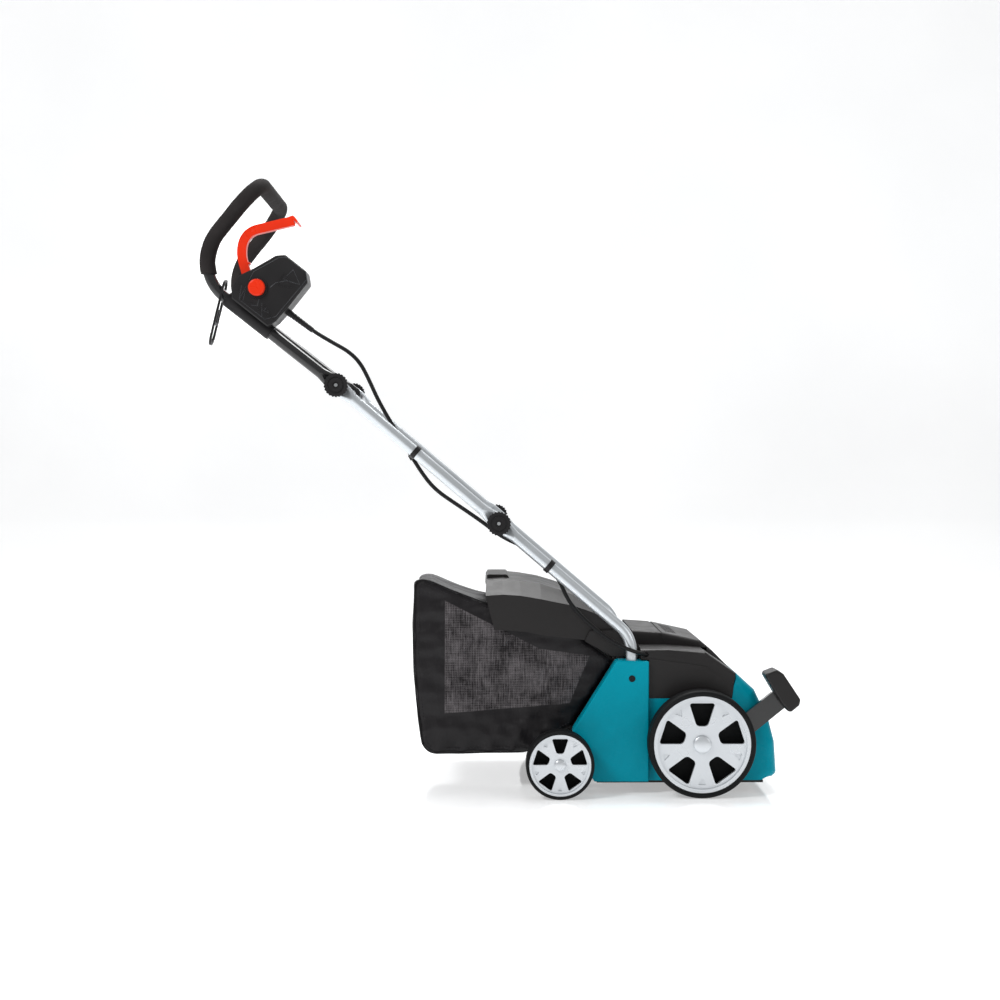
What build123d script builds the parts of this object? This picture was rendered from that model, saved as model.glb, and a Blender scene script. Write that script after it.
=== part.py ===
"""Electric lawn scarifier with a folding handle, a grass bag and a depth lever.

Frame: +X forward, +Y to the operator's left, +Z up, millimetres. The origin is on the ground, under
the middle of the machine's overall length and width. The ground is Z = 0.
"""

from build123d import *
import math
import os

os.makedirs("parts", exist_ok=True)

# ---- driving dimensions -------------------------------------------------------------------------

RUNNING = 0.05            # radial clearance of a shaft in its bearing
LOOSE = 0.3               # clearance between mouldings that move past each other

# wheels
FRONT_WHEEL_R = 93.0
FRONT_WHEEL_X = 348.5
FRONT_TYRE_OUTER_Y = 250.0
REAR_WHEEL_R = 59.0
REAR_WHEEL_X = 102.9
REAR_TYRE_OUTER_Y = 260.0
TYRE_WIDTH = 38.0
FRONT_TYRE_WALL = 10.5
REAR_TYRE_WALL = 6.5
DUST_DISC = 1.8           # black disc that closes a wheel's inner side, moulded with the tyre
CAP_INSET = 5.5           # from a tyre's outer face in to the cap's flat back
STUB_R = 5.0
REAR_AXLE_R = 6.0

# housing
DECK_HALF_WIDTH = 195.0
DECK_WALL = 3.5
DECK_BOTTOM_Z = 22.0
SEAM_X = 260.0
DECK_FRONT_X = 487.0
PANEL_BOTTOM_Z = 166.0
POD_OUTER_Y = 206.0
POD_INNER_Y = 171.0
POD_TOP_Z = 232.0
COVER_HALF_WIDTH = 108.0
COVER_WALL = 3.0
COVER_TOP_Z = 277.0

# blade rotor, chamber and duct
ROTOR_X = 290.0
ROTOR_Z = 64.0
BLADE_R = 56.0
BLADE_COUNT = 16
BLADE_PITCH = 20.0
BLADE_THICK = 2.5
DRUM_R = 17.0
JOURNAL_R = 7.5
CHAMBER_R = 66.0
CHAMBER_HALF_WIDTH = 158.0
UNDERBODY_WALL = 3.0
MOUTH_LOW = (133.0, 106.0)
MOUTH_HIGH = (208.0, 226.0)
BEARING_R = 16.0
BEARING_WIDTH = 8.0

# motor and belt
MOTOR_X = 320.0
MOTOR_Z = 196.0
MOTOR_R = 46.0
MOTOR_LEFT_Y = 91.0
MOTOR_RIGHT_Y = -101.0
MOTOR_SHAFT_R = 6.0
ARMATURE_R = 29.3
ARMATURE_HALF_LENGTH = 45.0
MOTOR_PULLEY_R = 12.7
ROTOR_PULLEY_R = 38.1
BELT_MID_Y = 184.0
BELT_WIDTH = 13.0
BELT_RIBS = 5
BELT_RIB_DEPTH = 1.6
BELT_BACK = 1.8
PLATE_LOW_Y = 168.5
PLATE_THICK = 6.0

# front wheel crank
CRANK_X = 396.0
CRANK_Z = 93.0
CRANK_ROD_R = 7.0
CRANK_ARM_LOW_Y = 200.0
CRANK_ARM_THICK = 4.5
LEVER_ARM_WIDTH = 35.0
LEVER_ANGLE = 38.7
LEVER_LENGTH = 117.0

# handle
TUBE_R = 10.0
TUBE_WALL = 1.5
HANDLE_HALF_WIDTH = 190.0
PRESSED_THICK = 9.0
PRESSED_WIDTH = 27.0
TONGUE_LENGTH = 14.0
TRANSITION = 22.0
TONGUE_GAP = 0.5
MID_HALF_WIDTH = HANDLE_HALF_WIDTH + PRESSED_THICK + TONGUE_GAP
LOWER_FOLD = (-2.1, 473.2)
UPPER_FOLD = (-283.3, 712.6)
LOWER_BEND = (230.4, 273.9)
LOWER_BEND_R = 60.0
TUBE_FOOT_Z = 118.0
GRIP_LOW = (-508.0, 890.0)
GRIP_BEND = (-508.0, 956.0)
GRIP_TOP = (-418.5, 1066.5)
GRIP_CORNER_R = 62.0
FOAM_R = 14.0
FOAM_START_Z = 905.0
BOLT_R = 3.0
KNOB_R = 21.0
KNOB_LENGTH = 20.0
KNOB_TEETH = 22

# switch box
BOX_OUTER_Y = -225.0
BOX_INNER_Y = -157.0
BOX_WALL = 2.5
SLEEVE_R = 13.0
BUTTON_X = -418.0
BUTTON_Z = 879.5
BUTTON_R = 14.6
SWITCH_LEVER_PIVOT = (-440.0, 902.0)
SWITCH_LEVER_LOW_Y = -183.0
SWITCH_LEVER_WIDTH = 16.0
LEVER_BAR = 66.0          # length of the bar across the lever's tip
SPIGOT_R = 2.5
RELIEF_START = (-370.5, 842.0)
RELIEF_ANGLE = -36.7
RELIEF_LENGTH = 56.0
CABLE_R = 3.5

# flap and bag
HINGE_X = 212.0
HINGE_Z = 272.0
HINGE_PIN_R = 3.0
FLAP_HALF_WIDTH = 168.5
FLAP_WALL = 3.0
BAG_HALF_WIDTH = 163.5
BAG_WALL = 2.5
BAG_FRAME_THICK = 6.0

SIDES = {"right": -1, "left": 1}


# ---- helpers ------------------------------------------------------------------------------------

def side_plane(y):
    """A plane facing -Y, whose own x and y run along +X and +Z."""
    return Plane(origin=(0, y, 0), x_dir=(1, 0, 0), z_dir=(0, -1, 0))


def outline(*corners):
    """A closed face in the X-Z plane from (x, z, corner radius) entries."""
    points = [(x, z) for x, z, r in corners]
    radii = [r for x, z, r in corners]
    return make_face(FilletPolyline(*points, radius=radii, close=True))


def polygon(*points):
    return make_face(Polyline(*points, close=True))


def thick(face, y_low, y_high):
    """A side face thickened from y_low to y_high."""
    return extrude(side_plane(y_high) * face, amount=y_high - y_low)


def rod_y(x, z, radius, y_low, y_high):
    """A round rod along Y."""
    middle = (y_low + y_high) / 2
    return Pos(x, middle, z) * Rot(90, 0, 0) * Cylinder(radius, y_high - y_low)


def ring_y(x, z, inner, outer, y_low, y_high):
    return rod_y(x, z, outer, y_low, y_high) - rod_y(x, z, inner, y_low - 1, y_high + 1)


def span(side, low, high):
    """The Y limits of a feature that lies from low to high outboard of the middle plane."""
    return (low, high) if side > 0 else (-high, -low)


def direction(angle):
    return (math.cos(math.radians(angle)), math.sin(math.radians(angle)))


def angle_between(start, end):
    return math.degrees(math.atan2(end[1] - start[1], end[0] - start[0]))


def ray(start, angle, distance):
    dx, dz = direction(angle)
    return (start[0] + dx * distance, start[1] + dz * distance)


def round_sweep(path, radius):
    """A round bar along a path."""
    section = Plane(path @ 0, z_dir=path % 0) * Circle(radius)
    return sweep(section, path=path)


def save(name, shape):
    """Writes one node, as one solid or as a group of separate solids."""
    solids = shape.solids() if not isinstance(shape, (list, tuple)) else shape
    whole = solids[0] if len(solids) == 1 else Compound(children=list(solids))
    export_step(whole, f"parts/{name}.step")
    return whole


# ---- wheels -------------------------------------------------------------------------------------

def wheel_disc(radius, bore, width):
    """A five-spoke disc with its outer face at y = 0 and its body towards +y, about the origin."""
    rim_wall = 0.075 * radius
    dish = 5.0
    web = 7.0
    hub_r = 0.2 * radius
    disc = ring_y(0, 0, radius - rim_wall, radius, 0, width)
    disc += rod_y(0, 0, radius - rim_wall + 0.5, dish, dish + web)
    inner = 0.37 * radius
    outer = 0.85 * radius
    half_in = 0.115 * radius
    half_out = 0.27 * radius
    corner = 0.045 * radius
    for i in range(5):
        turn = 90 + 72 * i
        window = outline((inner, -half_in, 2.2 * corner), (outer, -half_out, corner),
                         (outer, half_out, corner), (inner, half_in, 2.2 * corner))
        tool = thick(window, dish - 1, dish + web + 1)
        disc -= Rot(0, -turn, 0) * tool
        recess = outline((0.70 * radius, 0, 1.2), (0.84 * radius, -0.085 * radius, 1.2),
                         (0.84 * radius, 0.085 * radius, 1.2))
        disc -= Rot(0, -(turn + 36), 0) * thick(recess, dish - 1, dish + 3.0)
    disc += rod_y(0, 0, hub_r, 4.5, width)
    disc -= rod_y(0, 0, bore, -1, width + 1)
    return disc


def tyre(radius, wall, width):
    """A tyre about the origin, from y = 0 towards +y, with tread grooves and a dust disc."""
    shoulder = 0.45 * wall
    profile = RectangleRounded(wall, width, shoulder)
    section = Plane.XY * Pos(radius - wall / 2, width / 2) * profile
    body = revolve(section, axis=Axis.Y, revolution_arc=360)
    body -= rod_y(0, 0, radius - wall + shoulder * 0.25, -1, width + 1)
    body += ring_y(0, 0, 0.22 * radius, radius - wall / 2, width - DUST_DISC, width)
    for share in (0.36, 0.64):
        groove = ring_y(0, 0, radius - 1.2, radius + 5, width * share - 0.8, width * share + 0.8)
        body -= groove
    return body


def make_wheels():
    kinds = {"front": (FRONT_WHEEL_R, FRONT_TYRE_WALL, FRONT_WHEEL_X, FRONT_TYRE_OUTER_Y, STUB_R),
             "rear": (REAR_WHEEL_R, REAR_TYRE_WALL, REAR_WHEEL_X, REAR_TYRE_OUTER_Y, REAR_AXLE_R)}
    for kind, (radius, wall, x, outer_y, axle_r) in kinds.items():
        rubber = tyre(radius, wall, TYRE_WIDTH)
        disc_r = radius - wall + wall * 0.45 * 0.25
        disc = wheel_disc(disc_r, axle_r + RUNNING, TYRE_WIDTH - 4)
        right = Pos(x, -outer_y, radius)
        save(f"{kind}_tyre_right", right * rubber)
        save(f"{kind}_wheel_right", right * Pos(0, 2, 0) * disc)
        left = Pos(x, outer_y, radius)
        save(f"{kind}_tyre_left", left * mirror(rubber, about=Plane.XZ))
        save(f"{kind}_wheel_left", left * Pos(0, -2, 0) * mirror(disc, about=Plane.XZ))
        caps = []
        cap_r = 0.165 * radius
        for side in SIDES.values():
            low = outer_y - CAP_INSET
            dome = Pos(x, side * (low + 2.5), radius) * scale(Sphere(cap_r), by=(1, 0.25, 1))
            cap = rod_y(x, radius, cap_r, *span(side, low, low + 2.5)) + dome
            caps.append(cap - rod_y(x, radius, 2 * cap_r, *span(side, low - 20, low)))
        save(f"{kind}_hub_caps", caps)


# ---- housing ------------------------------------------------------------------------------------

def nose_outline(inset, bottom, top_trim):
    """The side shape of the teal deck, moved inwards by inset."""
    return outline((SEAM_X + 0.3 - (30 if inset else 0), bottom, 0),
                   (SEAM_X + 0.3 - (30 if inset else 0), PANEL_BOTTOM_Z - inset, 0),
                   (407.0 + inset, PANEL_BOTTOM_Z - inset, 0),
                   (409.5 + inset, 187 - inset, 0),
                   (416.5 + inset * 0.6, 207.8 - top_trim, 0),
                   (448.0 - inset, 179 - inset, 0),
                   (474.0 - inset, 124, 0),
                   (483.5 - inset, 88, 0),
                   (DECK_FRONT_X - inset, 32, 8 if not inset else 6),
                   (475.0 - inset, bottom, 0))


def make_deck():
    shell = thick(nose_outline(0, DECK_BOTTOM_Z, 0), -DECK_HALF_WIDTH, DECK_HALF_WIDTH)
    front_edges = shell.edges().filter_by(
        lambda e: abs(abs(e.center().Y) - DECK_HALF_WIDTH) < 0.01 and e.center().X > 425
        and e.center().Z > 34)
    shell = fillet(front_edges, 22)
    hollow = thick(nose_outline(DECK_WALL, DECK_BOTTOM_Z - 10, 9),
                   -(DECK_HALF_WIDTH - DECK_WALL), DECK_HALF_WIDTH - DECK_WALL)
    inner_edges = hollow.edges().filter_by(
        lambda e: abs(abs(e.center().Y) - DECK_HALF_WIDTH + DECK_WALL) < 0.01 and e.center().X > 425
        and e.center().Z > 34)
    hollow = fillet(inner_edges, 18)
    shell -= hollow
    opening_half = DECK_HALF_WIDTH - DECK_WALL
    shell -= Pos(330, 0, PANEL_BOTTOM_Z) * Box(140, 2 * opening_half, 30)
    for side in SIDES.values():
        shell += rod_y(CRANK_X, CRANK_Z, 14, *span(side, DECK_HALF_WIDTH - 14, DECK_HALF_WIDTH + 3))
        shell -= rod_y(CRANK_X, CRANK_Z, CRANK_ROD_R + RUNNING,
                       *span(side, DECK_HALF_WIDTH - 20, DECK_HALF_WIDTH + 8))
    rib_step = 45
    for i in range(-3, 4):
        shell += Pos(0, i * rib_step, 0) * thick(
            polygon((463, 60), (484, 60), (481.5, 86), (471, 112)), -1.2, 1.2) & Pos(
            440, i * rib_step, 100) * Box(200, 4, 200)
    save("deck_shell", shell.solids().sort_by(SortBy.VOLUME)[-1])


def pod_outline(inset):
    return outline((140 + inset, 56, 0), (126.6 + inset * 1.2, 110.3, 14),
                   (204.0 + inset * 1.2, POD_TOP_Z + 2 - inset, 10 - inset),
                   (SEAM_X - inset, POD_TOP_Z - inset, 3 if inset == 0 else 0),
                   (SEAM_X - inset, DECK_BOTTOM_Z - (20 if inset else 0), 0),
                   (165 + inset, DECK_BOTTOM_Z - (20 if inset else 0), 0))


def make_pods():
    for name, side in SIDES.items():
        pod = thick(pod_outline(0), *span(side, POD_INNER_Y, POD_OUTER_Y))
        outer_edges = pod.edges().filter_by(
            lambda e: abs(abs(e.center().Y) - POD_OUTER_Y) < 0.01 and e.center().Z > DECK_BOTTOM_Z + 2)
        pod = fillet(outer_edges, 2.5)
        pod -= thick(pod_outline(3.0), *span(side, POD_INNER_Y + 3, POD_OUTER_Y - 3))
        socket_low = TUBE_FOOT_Z - 4
        centre = Pos(LOWER_BEND[0], side * HANDLE_HALF_WIDTH, (socket_low + POD_TOP_Z) / 2)
        pod += centre * Cylinder(TUBE_R + 3.2, POD_TOP_Z - socket_low - 2)
        bore_low = TUBE_FOOT_Z
        pod -= Pos(LOWER_BEND[0], side * HANDLE_HALF_WIDTH, (bore_low + 260) / 2) * Cylinder(
            TUBE_R + RUNNING, 260 - bore_low)
        belt_room = ROTOR_PULLEY_R + BELT_BACK + LOOSE + 4
        pod -= rod_y(ROTOR_X, ROTOR_Z, belt_room, *span(side, POD_INNER_Y - 1, BELT_MID_Y + 9))
        pod -= rod_y(LOWER_BEND[0], 202, 3.1, *span(side, POD_INNER_Y - 1, POD_OUTER_Y + 1))
        pod -= rod_y(LOWER_BEND[0], 202, 6.0, *span(side, POD_OUTER_Y - 2.5, POD_OUTER_Y + 1))
        save(f"pod_{name}", pod.solids().sort_by(SortBy.VOLUME)[-1])


def tangent_point(point, upper):
    """Where a line from the point touches the chamber's circle."""
    to_centre = angle_between(point, (ROTOR_X, ROTOR_Z))
    distance = math.dist(point, (ROTOR_X, ROTOR_Z))
    spread = math.degrees(math.asin(CHAMBER_R / distance))
    angle = to_centre + spread if upper else to_centre - spread
    return ray(point, angle, math.sqrt(distance ** 2 - CHAMBER_R ** 2))


def duct_face(grow):
    """The chamber and the discharge duct seen from the side, grown by the wall."""
    upper = tangent_point(MOUTH_HIGH, True)
    lower = tangent_point(MOUTH_LOW, False)
    circle = Pos(ROTOR_X, ROTOR_Z) * Circle(CHAMBER_R)
    face = polygon(MOUTH_LOW, lower, (ROTOR_X, ROTOR_Z), upper, MOUTH_HIGH) + circle
    return offset(face, amount=grow, kind=Kind.INTERSECTION) if grow else face


def make_underbody():
    half = CHAMBER_HALF_WIDTH
    outer = thick(duct_face(UNDERBODY_WALL), -half - UNDERBODY_WALL, half + UNDERBODY_WALL)
    void = thick(duct_face(0), -half, half)
    mouth_angle = angle_between(MOUTH_LOW, MOUTH_HIGH)
    low_end = ray(MOUTH_LOW, mouth_angle, -60)
    high_end = ray(MOUTH_HIGH, mouth_angle, 60)
    away = mouth_angle + 90
    mouth_cut = polygon(low_end, high_end, ray(high_end, away, 40), ray(low_end, away, 40))
    base_low = DECK_BOTTOM_Z - 4.5
    base_high = DECK_BOTTOM_Z - 0.5
    base = Pos(316, 0, (base_low + base_high) / 2) * Box(292, 2 * 191, base_high - base_low)
    body = outer - thick(polygon((100, -60), (500, -60), (500, base_low), (100, base_low)), -400, 400)
    body += base
    for side in SIDES.values():
        arm = outline((236, base_high, 0), (170, base_low, 0), (REAR_WHEEL_X - 8, 48, 6),
                      (REAR_WHEEL_X - 9, 68, 6), (REAR_WHEEL_X + 14, 71, 4), (190, 62, 0))
        body += thick(arm, *span(side, half - 5, half + UNDERBODY_WALL))
        body += rod_y(REAR_WHEEL_X, REAR_WHEEL_R, 12, *span(side, half - 9, half + 9))
        body -= rod_y(REAR_WHEEL_X, REAR_WHEEL_R, REAR_AXLE_R + RUNNING,
                      *span(side, half - 12, half + 12))
    right_boss = rod_y(ROTOR_X, ROTOR_Z, BEARING_R + 5, -half - 17, -half)
    body += right_boss
    body -= void
    body -= thick(mouth_cut, -400, 400)
    body -= rod_y(ROTOR_X, ROTOR_Z, JOURNAL_R + 1, -half - 30, -half + 1)
    body -= rod_y(ROTOR_X, ROTOR_Z, BEARING_R, -half - 30, -half - 9)
    body -= rod_y(ROTOR_X, ROTOR_Z, BEARING_R + 5.5, half - 1, half + 20)
    save("underbody", body.solids().sort_by(SortBy.VOLUME)[-1])


def duct_room():
    """The space that the duct takes, with a little air round it."""
    half = CHAMBER_HALF_WIDTH + UNDERBODY_WALL + 1
    return thick(duct_face(UNDERBODY_WALL + 1), -half, half)


def panel_outline(inset):
    low = PANEL_BOTTOM_Z - (25 if inset else -0.3)
    return outline((SEAM_X + 0.6 + inset, low, 0), (SEAM_X + 0.6 + inset, POD_TOP_Z + 2 + inset, 0),
                   (246.5 + inset, POD_TOP_Z + 2 + inset, 0), (246.5 + inset, 252 - inset, 0),
                   (296, 252 - inset, 0), (360 - inset * 0.3, 247 - inset, 0),
                   (413.0 - inset, 210 - inset, 0), (409.0 - inset, 188, 0), (406.5 - inset, low, 0))


BRACKET = [(150, 264, 2), (198, 237.5, 0), (248, 237.5, 0), (248, 251, 0), (238, 268, 6),
           (224, 282, 6), (206, 284, 0), (158, 282, 4)]
BRACKET_LOW_Y = 171.0
BRACKET_THICK = 3.0


def make_shoulder_panels():
    for name, side in SIDES.items():
        panel = thick(panel_outline(0), *span(side, COVER_HALF_WIDTH + 0.4, DECK_HALF_WIDTH))
        crest = panel.edges().filter_by(
            lambda e: abs(abs(e.center().Y) - DECK_HALF_WIDTH) < 0.01 and e.center().Z > 225
            and e.center().X > 250 and e.length > 30)
        panel = fillet(crest, 9)
        panel -= thick(panel_outline(COVER_WALL),
                       *span(side, COVER_HALF_WIDTH - 5, DECK_HALF_WIDTH - COVER_WALL))
        step = thick(polygon((240, 239), (361, 222), (405, 190), (440, 190), (440, 262), (240, 262)),
                     *span(side, DECK_HALF_WIDTH - 1.4, DECK_HALF_WIDTH + 1))
        panel -= step
        panel += thick(outline(*BRACKET), *span(side, BRACKET_LOW_Y, BRACKET_LOW_Y + BRACKET_THICK))
        panel -= duct_room()
        if side < 0:
            panel -= round_sweep(lead_path("cable_lower"), CABLE_R + 0.8)
        save(f"side_panel_{name}", panel.solids().sort_by(SortBy.VOLUME)[-1])


def cover_outline(inset):
    low = PANEL_BOTTOM_Z - (40 if inset else -0.3)
    rear = 238 + inset
    return outline((rear, 215 - (60 if inset else 0), 0), (rear, COVER_TOP_Z - inset, 0),
                   (290, 273.5 - inset, 0), (361, 258 - inset, 0), (383 - inset * 0.5, 240 - inset, 0),
                   (412 - inset, 211 - inset, 0), (408.5 - inset, 187, 0), (406.0 - inset, low, 0),
                   (262, low, 0))


def make_motor_cover():
    half = COVER_HALF_WIDTH
    cover = thick(cover_outline(0), -half, half)
    top_edges = cover.edges().filter_by(
        lambda e: abs(abs(e.center().Y) - half) < 0.01 and e.center().Z > 235 and e.center().X > 239)
    cover = fillet(top_edges, 7)
    cover -= thick(cover_outline(COVER_WALL), -half + COVER_WALL, half - COVER_WALL)
    for side in SIDES.values():
        cover -= Pos(310, side * half, 195) * Box(126, 16, 102)
        side_groove = polygon((283, 278), (288, 278), (301.5, 246), (296.5, 246))
        cover -= thick(side_groove, *span(side, half - 1.2, half + 1))
    cover -= duct_room()
    joint_groove = Pos(290, 0, 276) * Rot(0, 12, 0) * Box(5, 2 * half + 4, 8)
    cover -= joint_groove & Pos(290, 0, 273.5) * Box(20, 2 * half + 4, 5.5)
    slot_count = 9
    for i in range(slot_count):
        y = (i - (slot_count - 1) / 2) * 15
        cover -= Pos(312, y, 266) * Rot(0, 12, 0) * Box(22, 7, 14)
    grip_recess = Pos(342, 0, 264) * Rot(0, 12.5, 0) * Box(16, 120, 3.2)
    cover -= grip_recess
    for y in (-104, -66, 66, 104):
        lug = outline((HINGE_X - 6, HINGE_Z - 6, 5), (HINGE_X + 6, HINGE_Z - 12, 0), (239, 240, 0),
                      (239, 272, 0), (HINGE_X + 4, HINGE_Z + 6, 4), (HINGE_X - 6, HINGE_Z + 6, 5))
        cover += thick(lug, y - 3, y + 3)
        cover -= rod_y(HINGE_X, HINGE_Z, HINGE_PIN_R, y - 5, y + 5)
    save("motor_cover", cover.solids().sort_by(SortBy.VOLUME)[-1])


def make_flap_pin():
    save("flap_hinge_pin", rod_y(HINGE_X, HINGE_Z, HINGE_PIN_R, -FLAP_HALF_WIDTH + 0.5,
                                 FLAP_HALF_WIDTH - 0.5))


def make_rear_axle():
    end = REAR_TYRE_OUTER_Y - CAP_INSET
    save("rear_axle", rod_y(REAR_WHEEL_X, REAR_WHEEL_R, REAR_AXLE_R, -end, end))


def make_housing_screws():
    """Pod screws that hold the handle tubes, and the cover's four screws."""
    screws = []
    for side in SIDES.values():
        screw = rod_y(LOWER_BEND[0], 202, 3.0, *span(side, POD_INNER_Y + 4, POD_OUTER_Y - 2))
        screw += rod_y(LOWER_BEND[0], 202, 5.6, *span(side, POD_OUTER_Y - 2.4, POD_OUTER_Y - 0.4))
        screw -= Pos(LOWER_BEND[0], side * (POD_OUTER_Y - 0.4), 202) * Box(1.2, 1.6, 8)
        screws.append(screw)
    save("pod_screws", screws)


# ---- motor and rotor ----------------------------------------------------------------------------

def make_motor():
    left = MOTOR_LEFT_Y
    right = MOTOR_RIGHT_Y
    can = rod_y(MOTOR_X, MOTOR_Z, MOTOR_R, right, left)
    can -= rod_y(MOTOR_X, MOTOR_Z, MOTOR_R - 2.5, right + 6, left - 6)
    can += ring_y(MOTOR_X, MOTOR_Z, ARMATURE_R + 0.7, MOTOR_R - 2, -45, 45)
    can -= rod_y(MOTOR_X, MOTOR_Z, MOTOR_SHAFT_R + RUNNING, right - 1, left + 1)
    for i in range(8):
        turn = i * 45
        x, z = ray((MOTOR_X, MOTOR_Z), turn, 27)
        can -= rod_y(x, z, 6, left - 7, left + 1)
        can -= rod_y(x, z, 6, right - 1, right + 7)
    save("motor_can", can.solids().sort_by(SortBy.VOLUME)[-1])

    shaft_end = BELT_MID_Y + BELT_WIDTH / 2 + 0.5
    shaft = rod_y(MOTOR_X, MOTOR_Z, MOTOR_SHAFT_R, right + 1, shaft_end)
    core = rod_y(MOTOR_X, MOTOR_Z, ARMATURE_R, -ARMATURE_HALF_LENGTH, ARMATURE_HALF_LENGTH)
    slots = 12
    for i in range(slots):
        x, z = ray((MOTOR_X, MOTOR_Z), i * 360 / slots, ARMATURE_R)
        core -= rod_y(x, z, 1.6, -60, 60)
    commutator = rod_y(MOTOR_X, MOTOR_Z, 16, -80, -58)
    save("motor_armature", shaft + core + commutator)

    fan = ring_y(MOTOR_X, MOTOR_Z, MOTOR_SHAFT_R, 12, 56, 78)
    fan += ring_y(MOTOR_X, MOTOR_Z, MOTOR_SHAFT_R, 40, 56, 58.5)
    for i in range(9):
        blade = thick(polygon((10, -1), (39, 4), (39, 6), (10, 1)), 57, 76)
        fan += Pos(MOTOR_X, 0, MOTOR_Z) * Rot(0, i * 40, 0) * blade
    save("cooling_fan", fan.solids().sort_by(SortBy.VOLUME)[-1])


def ribbed_pulley(x, z, radius, bore):
    """A pulley whose grooves run round it, matching the ribs of the belt."""
    low = BELT_MID_Y - BELT_WIDTH / 2
    high = BELT_MID_Y + BELT_WIDTH / 2
    wheel = rod_y(x, z, radius, low, high)
    pitch = BELT_WIDTH / BELT_RIBS
    for i in range(BELT_RIBS):
        middle = low + pitch * (i + 0.5)
        half = pitch * 0.25 + LOOSE
        wheel -= ring_y(x, z, radius - BELT_RIB_DEPTH - LOOSE, radius + 1, middle - half, middle + half)
    return wheel - rod_y(x, z, bore, low - 1, high + 1)


def belt_face(grow):
    """The closed loop round both pulleys, grown by the given amount."""
    small = MOTOR_PULLEY_R + grow
    large = ROTOR_PULLEY_R + grow
    motor = (MOTOR_X, MOTOR_Z)
    rotor = (ROTOR_X, ROTOR_Z)
    along = angle_between(rotor, motor)
    distance = math.dist(rotor, motor)
    lean = math.degrees(math.acos((large - small) / distance))
    points = [ray(rotor, along + lean, large), ray(motor, along + lean, small),
              ray(motor, along - lean, small), ray(rotor, along - lean, large)]
    loop = Pos(*motor) * Circle(small) + Pos(*rotor) * Circle(large)
    return loop + polygon(*points)


def make_belt_drive():
    save("motor_pulley", ribbed_pulley(MOTOR_X, MOTOR_Z, MOTOR_PULLEY_R, MOTOR_SHAFT_R))
    save("rotor_pulley", ribbed_pulley(ROTOR_X, ROTOR_Z, ROTOR_PULLEY_R, JOURNAL_R))
    low = BELT_MID_Y - BELT_WIDTH / 2
    high = BELT_MID_Y + BELT_WIDTH / 2
    belt = thick(belt_face(LOOSE + BELT_BACK), low, high) - thick(belt_face(LOOSE), low - 1, high + 1)
    pitch = BELT_WIDTH / BELT_RIBS
    for i in range(BELT_RIBS):
        middle = low + pitch * (i + 0.5)
        half = pitch * 0.25
        rib = thick(belt_face(LOOSE + 0.2), middle - half, middle + half)
        rib -= thick(belt_face(-BELT_RIB_DEPTH), middle - half - 1, middle + half + 1)
        belt += rib
    save("drive_belt", belt.solids().sort_by(SortBy.VOLUME)[-1])


def make_rotor():
    half = CHAMBER_HALF_WIDTH
    shaft = rod_y(ROTOR_X, ROTOR_Z, DRUM_R, -half + 3, half - 3)
    shaft += rod_y(ROTOR_X, ROTOR_Z, JOURNAL_R, -half - 17, BELT_MID_Y + BELT_WIDTH / 2 + 0.5)
    save("rotor_shaft", shaft)

    arm = (outline((DRUM_R - 4, -12, 0), (36, -9, 0), (BLADE_R - 3, -6, 2), (BLADE_R - 0.6, 3, 1),
                   (BLADE_R - 3, 7, 1), (40, 5, 6), (30, 9, 4), (DRUM_R - 4, 13, 0)))
    face = Circle(DRUM_R + 8) + arm + Rot(0, 0, 180) * arm - Circle(DRUM_R)
    blades = []
    turn_step = 180 / 7 * 3
    for i in range(BLADE_COUNT):
        y = (i - (BLADE_COUNT - 1) / 2) * BLADE_PITCH
        blade = thick(face, -BLADE_THICK / 2, BLADE_THICK / 2)
        blades.append(Pos(ROTOR_X, y, ROTOR_Z) * Rot(0, i * turn_step, 0) * blade)
    save("scarifier_blades", blades)

    bearing_low = half + 9
    bearings = [ring_y(ROTOR_X, ROTOR_Z, JOURNAL_R + RUNNING, BEARING_R,
                       *span(side, bearing_low, bearing_low + BEARING_WIDTH)) for side in (-1, 1)]
    save("rotor_bearings", bearings)


def make_bearing_plate():
    """The cast plate that carries the rotor's left bearing and the motor."""
    low = PLATE_LOW_Y
    high = PLATE_LOW_Y + PLATE_THICK
    along = angle_between((ROTOR_X, ROTOR_Z), (MOTOR_X, MOTOR_Z))
    edge = []
    for centre, offset_angle in (((ROTOR_X, ROTOR_Z), 90), ((MOTOR_X, MOTOR_Z), 90),
                                 ((MOTOR_X, MOTOR_Z), -90), ((ROTOR_X, ROTOR_Z), -90)):
        edge.append(ray(centre, along + offset_angle, 23))
    plate = thick(polygon(*edge), low, high)
    plate += rod_y(ROTOR_X, ROTOR_Z, 23, low, high)
    plate += rod_y(MOTOR_X, MOTOR_Z, 44, low, high)
    plate += rod_y(ROTOR_X, ROTOR_Z, BEARING_R + 5, low - 2, high + 1)
    for turn in (30, 150, 270):
        x, z = ray((MOTOR_X, MOTOR_Z), turn, 36)
        plate += rod_y(x, z, 6, MOTOR_LEFT_Y, high)
    plate -= rod_y(ROTOR_X, ROTOR_Z, BEARING_R, low - 5, high + 5)
    plate -= rod_y(MOTOR_X, MOTOR_Z, MOTOR_SHAFT_R + RUNNING, low - 5, high + 5)
    save("bearing_plate", plate.solids().sort_by(SortBy.VOLUME)[-1])


# ---- front wheel crank --------------------------------------------------------------------------

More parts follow.
